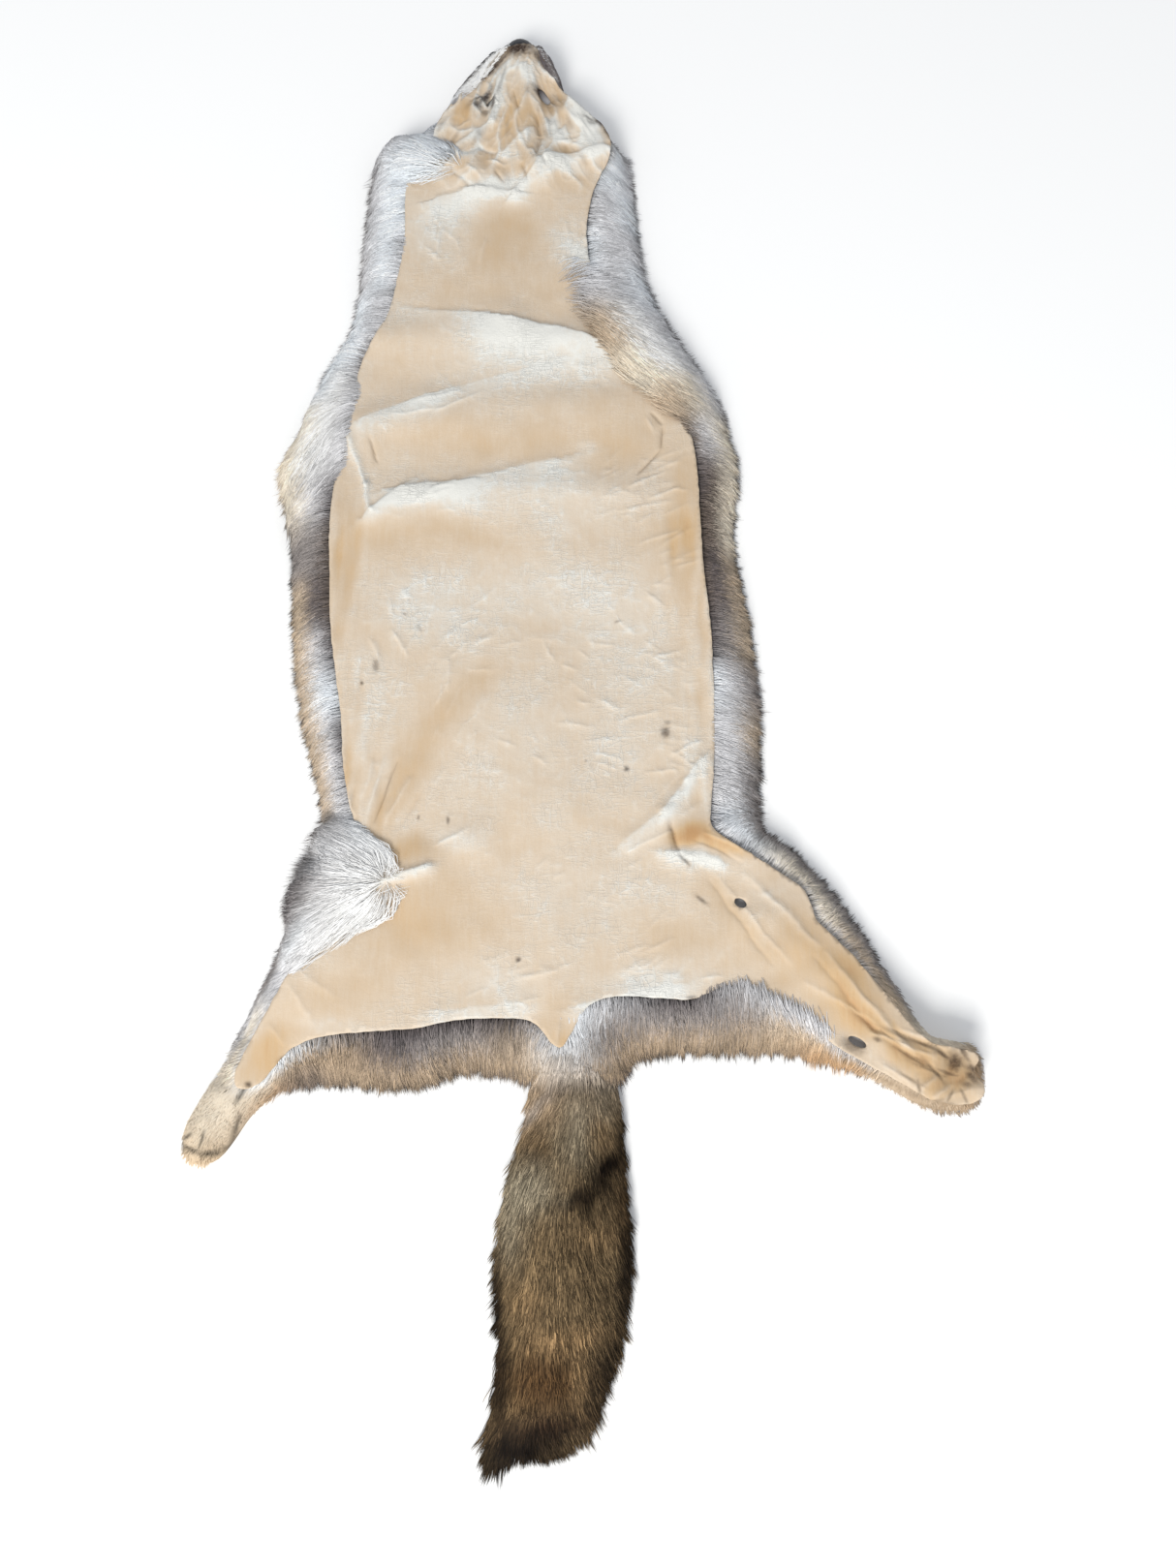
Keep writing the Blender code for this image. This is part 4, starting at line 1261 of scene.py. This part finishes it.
def hair(name, path, width, colours, finish):
    """Blades along the paths as one mesh. The last ring of each is a point."""
    count = len(path)
    path[:, :, 2] = np.maximum(path[:, :, 2], 0.7 * MM)
    along = np.gradient(path, axis=1)
    along /= np.linalg.norm(along, axis=2, keepdims=True) + 1e-12
    flat = np.cross(along, (0, 0, 1))
    flat /= np.linalg.norm(flat, axis=2, keepdims=True) + 1e-12
    steep = np.cross(flat, along)
    turn = chance.uniform(-0.7, 0.7, (count, 1, 1))
    side = flat * np.cos(turn) + steep * np.sin(turn)
    half = side * (width[:, None] * BLADE[None] / 2)[:, :, None]
    corners = np.concatenate(
        [np.stack([path[:, k] - half[:, k], path[:, k] + half[:, k]], 1) for k in range(3)]
        + [path[:, 3:]],
        axis=1,
    )
    per_hair = 7
    quads = np.array([[0, 1, 3, 2], [2, 3, 5, 4]])
    first = (np.arange(count) * per_hair)[:, None]
    loops = np.concatenate([first + quads[0], first + quads[1], first + [4, 5, 6]], 1).ravel()
    starts = (np.arange(count)[:, None] * 11 + [0, 4, 8]).ravel()
    mesh = bpy.data.meshes.new(name)
    mesh.vertices.add(count * per_hair)
    mesh.vertices.foreach_set("co", corners.astype(np.float32).ravel())
    mesh.loops.add(len(loops))
    mesh.loops.foreach_set("vertex_index", loops.astype(np.int32))
    mesh.polygons.add(len(starts))
    mesh.polygons.foreach_set("loop_start", starts.astype(np.int32))
    mesh.update(calc_edges=True)
    mesh.shade_smooth()
    slopes = [-0.6 * sample(slope, corners[:, :, 0], corners[:, :, 1]) for slope in (slope_x, slope_y)]
    up = np.dstack([*slopes, np.ones(slopes[0].shape)])
    up[:, [0, 2, 4]] -= ROUNDED * side[:, :3]
    up[:, [1, 3, 5]] += ROUNDED * side[:, :3]
    up /= np.linalg.norm(up, axis=2, keepdims=True)
    mesh.normals_split_custom_set_from_vertices(up.reshape(-1, 3))
    made = bpy.data.objects.new(name, mesh)
    bpy.context.scene.collection.objects.link(made)
    spread = np.concatenate([np.repeat(colours[:, k : k + 1], 2, 1) for k in range(3)] + [colours[:, 3:]], 1)
    tint(made, spread.reshape(-1, 3))
    mesh.materials.append(finish)
    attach(made, "root")
    return made


def scattered(count, low, high, accept):
    """That many random spots in the rectangle that the test accepts."""
    found = np.empty((0, 2))
    while len(found) < count:
        spots = chance.uniform(low, high, (count * 4, 2))
        found = np.vstack([found, spots[accept(*spots.T)]])
    return found[:count]


def on_rim(x, y):
    share = sample(out_share, x, y)
    back_in = -0.12 - 0.30 * sample(swell, x, y)
    thinning = chance.uniform(0.1, 0.85, len(x))
    return ((share > back_in) | (sample(lobe, x, y) > thinning)) & (share < 0.9)


def rim_run(x, y):
    return sample(run_x, x, y), sample(run_y, x, y)


RIM_HAIRS = 94000
RIM_TUFTS = 6000
roots = scattered(RIM_HAIRS, (cad_low.x, cad_low.y), (cad_high.x, cad_high.y), on_rim)
leaders, tuft_of = tufts(roots, RIM_TUFTS)
root_share = sample(out_share, *roots.T)
width_here = sample(rim_width, *roots.T)
x, back = measures(*roots.T)
short = 1 - 0.78 * sample(bare, *roots.T)
reach = np.minimum(width_here * (1.04 - root_share), 28 * MM) * sample(lobe_long, *roots.T)
reach *= 1 + 0.16 * lumps(x, back, 17, 73)
reach *= chance.uniform(0.8, 1.1, RIM_HAIRS) * chance.uniform(0.75, 1.2, RIM_TUFTS)[tuft_of]
reach = np.maximum(reach + chance.uniform(0, 4, RIM_HAIRS) * MM, 8 * MM) * short
guard = (root_share > 0.4) & (chance.random(RIM_HAIRS) < 0.4)
reach += np.where(guard, chance.uniform(0, 6, RIM_HAIRS) * MM * short, 0)
low_hair = chance.random((RIM_HAIRS, 1)) < 0.10
rings = ((-4, -0.5), (-0.5, 1.2), (-0.5, 1.6), (-1, 1.6))
lift = np.column_stack([chance.uniform(low, high, RIM_HAIRS) for low, high in rings])
lift = np.where(low_hair, lift - 4, lift) * MM * np.where(short < 0.6, 0.25, 1)[:, None]
rim = grow(*roots.T, reach, rim_run, lift)
pull = 0.55 - 0.40 * np.clip(root_share, 0, 1)
rim = drawn_together(rim, leaders, tuft_of, pull[:, None, None])
stray = chance.normal(0, 0.08, RIM_HAIRS)
wave = 1 + 0.18 * lumps(x, back, 26, 14) + 0.08 * lumps(x, back, 11, 15)
hair_tone = chance.normal(1, 0.05, RIM_HAIRS) * chance.normal(1, 0.10, RIM_TUFTS)[tuft_of] * wave
hair_tone = np.where(short < 0.6, 1 + 0.3 * (hair_tone - 1), hair_tone)
on_lobe = sample(lobe, *roots.T)
pepper = chance.choice([-0.34, -0.1, 0.1, 0.26], RIM_HAIRS)
colours = np.empty((RIM_HAIRS, 4, 3))
# Painted shade: each hair's root ring is darkened, as it lies deep in the coat.
for ring, depth in enumerate((0.8, 1.0, 1.04, 1.04)):
    at_x, at_y = rim[:, ring, 0], rim[:, ring, 1]
    share = sample(out_share, at_x, at_y)
    base, tips = coat_tints(at_x, at_y, share + stray)
    dark = np.clip((share - 0.78) / 0.3, 0, 1) * guard * (ring > 1)
    base = base * (1 - dark[:, None]) + tips * dark[:, None]
    # Painted shade: hair lying in the paw's furrows is darkened.
    deep = furrow_of(*measures(at_x, at_y))[0]
    contrast = np.clip(1.15 - base.mean(1), 0.2 + 0.6 * on_lobe * (back < 1000), 1) * (1 - 0.85 * (short < 0.6))
    shade = depth * hair_tone * (1 + pepper * contrast) * (1 - 0.72 * deep)
    colours[:, ring] = base * shade[:, None]
part_of = np.where(back > 1000, 2, 0) + (x > -60)
HAIR_WIDTH = 0.72 * MM
for index, name in enumerate(("coat_left", "coat_right", "coat_rear_left", "coat_rear_right")):
    mine = part_of == index
    thick = HAIR_WIDTH * chance.uniform(0.7, 1.25, mine.sum())
    hair(name, rim[mine], thick, colours[mine], hair_finish)

# The tail lies fur side up. Its hair is longer, runs to the tip and fans out to both sides,
# and each hair is light with a dark end.
TAIL_SHADES = {
    "tail_base": (112, 94, 70),
    "ash": (152, 142, 122),
    "straw": (152, 124, 90),
    "umber": (46, 33, 24),
    "peat": (22, 15, 11),
    "bark": (82, 60, 38),
    "frost": (196, 194, 196),
    "sand": (178, 150, 118),
}
# Soft patches along the tail: x, back, half width, half length, turn, shade, share.
TAIL_PATCHES = [
    (-38, 1090, 14, 30, 10, "sand", 0.85),
    (-48, 1074, 8, 24, 0, "ash", 0.6),
    (-20, 1082, 7, 22, -8, "frost", 0.75),
    (-32, 1106, 6, 16, -48, "frost", 0.60),
    (-46, 1122, 6, 14, -34, "frost", 0.40),
    (-6, 1104, 12, 34, 10, "ash", 0.9),
    (16, 1096, 14, 26, 0, "ash", 0.9),
    (-40, 1140, 18, 10, -40, "straw", 0.5),
    (-4, 1140, 22, 22, 0, "ash", 0.5),
    (-38, 1152, 12, 7, -30, "umber", 0.6),
    (14, 1138, 12, 18, 10, "straw", 0.6),
    (36, 1110, 6, 60, 0, "peat", 0.95),
    (20, 1160, 10, 24, -38, "peat", 1.0),
    (-4, 1184, 24, 8, 12, "peat", 0.95),
    (34, 1190, 9, 30, 0, "bark", 0.5),
    (-46, 1176, 26, 22, 0, "ash", 0.8),
    (-58, 1205, 14, 30, 0, "ash", 0.6),
    (10, 1214, 18, 10, 0, "straw", 0.8),
    (36, 1240, 9, 70, -6, "peat", 0.95),
    (-12, 1240, 40, 40, 0, "tail_base", 0.6),
    (-70, 1270, 7, 50, 0, "peat", 0.95),
    (-44, 1262, 16, 14, 0, "straw", 0.55),
    (-12, 1286, 34, 9, 6, "straw", 0.95),
    (-30, 1318, 36, 26, 0, "bark", 0.9),
    (-2, 1318, 7, 20, 0, "straw", 0.5),
    (-66, 1320, 10, 40, 0, "peat", 0.8),
    (18, 1320, 12, 36, -12, "peat", 0.8),
    (-30, 1352, 46, 12, 4, "umber", 0.95),
    (-50, 1368, 40, 14, 6, "peat", 1.0),
    (-50, 1394, 60, 22, 6, "peat", 1.0),
]
TAIL_ROWS = [
    (1062, -20, -14),
    (1092, -46, 30),
    (1118, -48, 33),
    (1165, -64, 36),
    (1220, -73, 41),
    (1285, -68, 32),
    (1342, -74, 8),
    (1380, -76, -40),
]


def across_tail(x, y):
    """-1 at the tail's left edge, 0 on its middle line and 1 at its right edge."""
    x, back = measures(x, y)
    backs, lefts, rights = (np.array(column) for column in zip(*TAIL_ROWS))
    left, right = np.interp(back, backs, lefts), np.interp(back, backs, rights)
    return (x - (left + right) / 2) / ((right - left) / 2)


def tail_run(x, y):
    aside = across_tail(x, y)
    _, back = measures(x, y)
    lean = -0.20 + 0.30 * np.clip((back - 1160) / 80, 0, 1) - 0.25 * np.clip((back - 1290) / 60, 0, 1)
    return 0.42 * np.clip(aside, -1.2, 1.2) + lean * (1 - np.abs(np.clip(aside, -1, 1))), -np.ones(len(x))


def tail_tints(x, y):
    x, back = measures(x, y)
    found = np.tile(linear(*TAIL_SHADES["tail_base"]), (len(x), 1))
    rag = 4 * lumps(x, back, 9, 31)
    for px, pback, half_width, half_length, turn, shade, amount in TAIL_PATCHES:
        share = amount * in_patch(x + rag, back + rag, px, pback, half_width, half_length, turn)
        share = share[:, None]
        found = found * (1 - share) + share * linear(*TAIL_SHADES[shade])
    share = np.clip(0.5 + (back - 1070) / 90, 0, 1)
    at_root = np.clip((1136 - back - 0.3 * x) / 56, 0, 1)[:, None]
    coat = coat_tints(*place(x, back).T, share)[0]
    return found * (1 - at_root) + coat * at_root


def on_tail_fur(x, y):
    _, back = measures(x, y)
    aside = across_tail(x, y)
    return (back > 1064) & (back < 1366) & (np.abs(aside) < 0.9)


TAIL_SET_BACK = 12 * MM
tail_underfur = soft_slab(
    "tail_underfur",
    pulled_in(tail_loop, np.full(len(tail_loop), TAIL_SET_BACK)),
    3.5 * MM,
    underfur_finish,
    [],
)
at = corners_of(tail_underfur)
# Painted shade: the tail's underfur is painted at half the brightness of its hair.
tint(tail_underfur, 0.5 * tail_tints(at[:, 0], at[:, 1]))
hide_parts("tail")

TAIL_HAIRS = 39000
TAIL_TUFTS = 2200
roots = scattered(
    TAIL_HAIRS, (-78 * MM, NOSE_TIP - 1370 * MM), (46 * MM, NOSE_TIP - 1062 * MM), on_tail_fur
)
aside = across_tail(*roots.T)
x, back = measures(*roots.T)
leaders, tuft_of = tufts(roots, TAIL_TUFTS)
reach = chance.uniform(17, 30, TAIL_HAIRS) * MM * np.where(np.abs(aside) > 0.75, 0.75, 1)
reach *= 1 + 0.7 * in_patch(x, back, -70, 1366, 16, 16, 0)
reach *= np.clip((1392 - back) / 40, 0.5, 1.1) * chance.uniform(0.8, 1.2, TAIL_TUFTS)[tuft_of]
lift = np.column_stack(
    [chance.uniform(low, high, TAIL_HAIRS) for low, high in ((-6, -1), (-1, 2.5), (-1, 3.5), (-2, 4))]
)
tail_hair = grow(*roots.T, reach, tail_run, lift * MM)
tail_hair = drawn_together(tail_hair, leaders, tuft_of, 0.5)
light = chance.random(TAIL_HAIRS)
bright = np.where(light < 0.34, 0.42, np.where(light > 0.74, 1.6, 0.95))
bright *= np.exp(chance.normal(0, 0.2, TAIL_TUFTS))[tuft_of]
calm = 0.55 * np.clip((1150 - back) / 80, 0, 1)
bright = bright * (1 - calm) + calm
colours = np.empty((TAIL_HAIRS, 4, 3))
# Painted shade: each tail hair's root is darkened; the darker tip is the hair's own dark end.
for ring, depth in enumerate((0.5, 0.9, 1.1, 0.8)):
    base = tail_tints(tail_hair[:, ring, 0], tail_hair[:, ring, 1])
    colours[:, ring] = base * (depth * bright)[:, None]
thick = 0.72 * MM * chance.uniform(0.7, 1.3, TAIL_HAIRS)
hair("tail_hair", tail_hair, thick, colours, tinted("tail_guard_hair", 0.7, 0.1))

nose_finish, _ = finish_of("nose_pad", linear(30, 31, 38), 0.38, 0.5)
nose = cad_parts["nose"]
nose.data.materials.clear()
nose.data.materials.append(nose_finish)
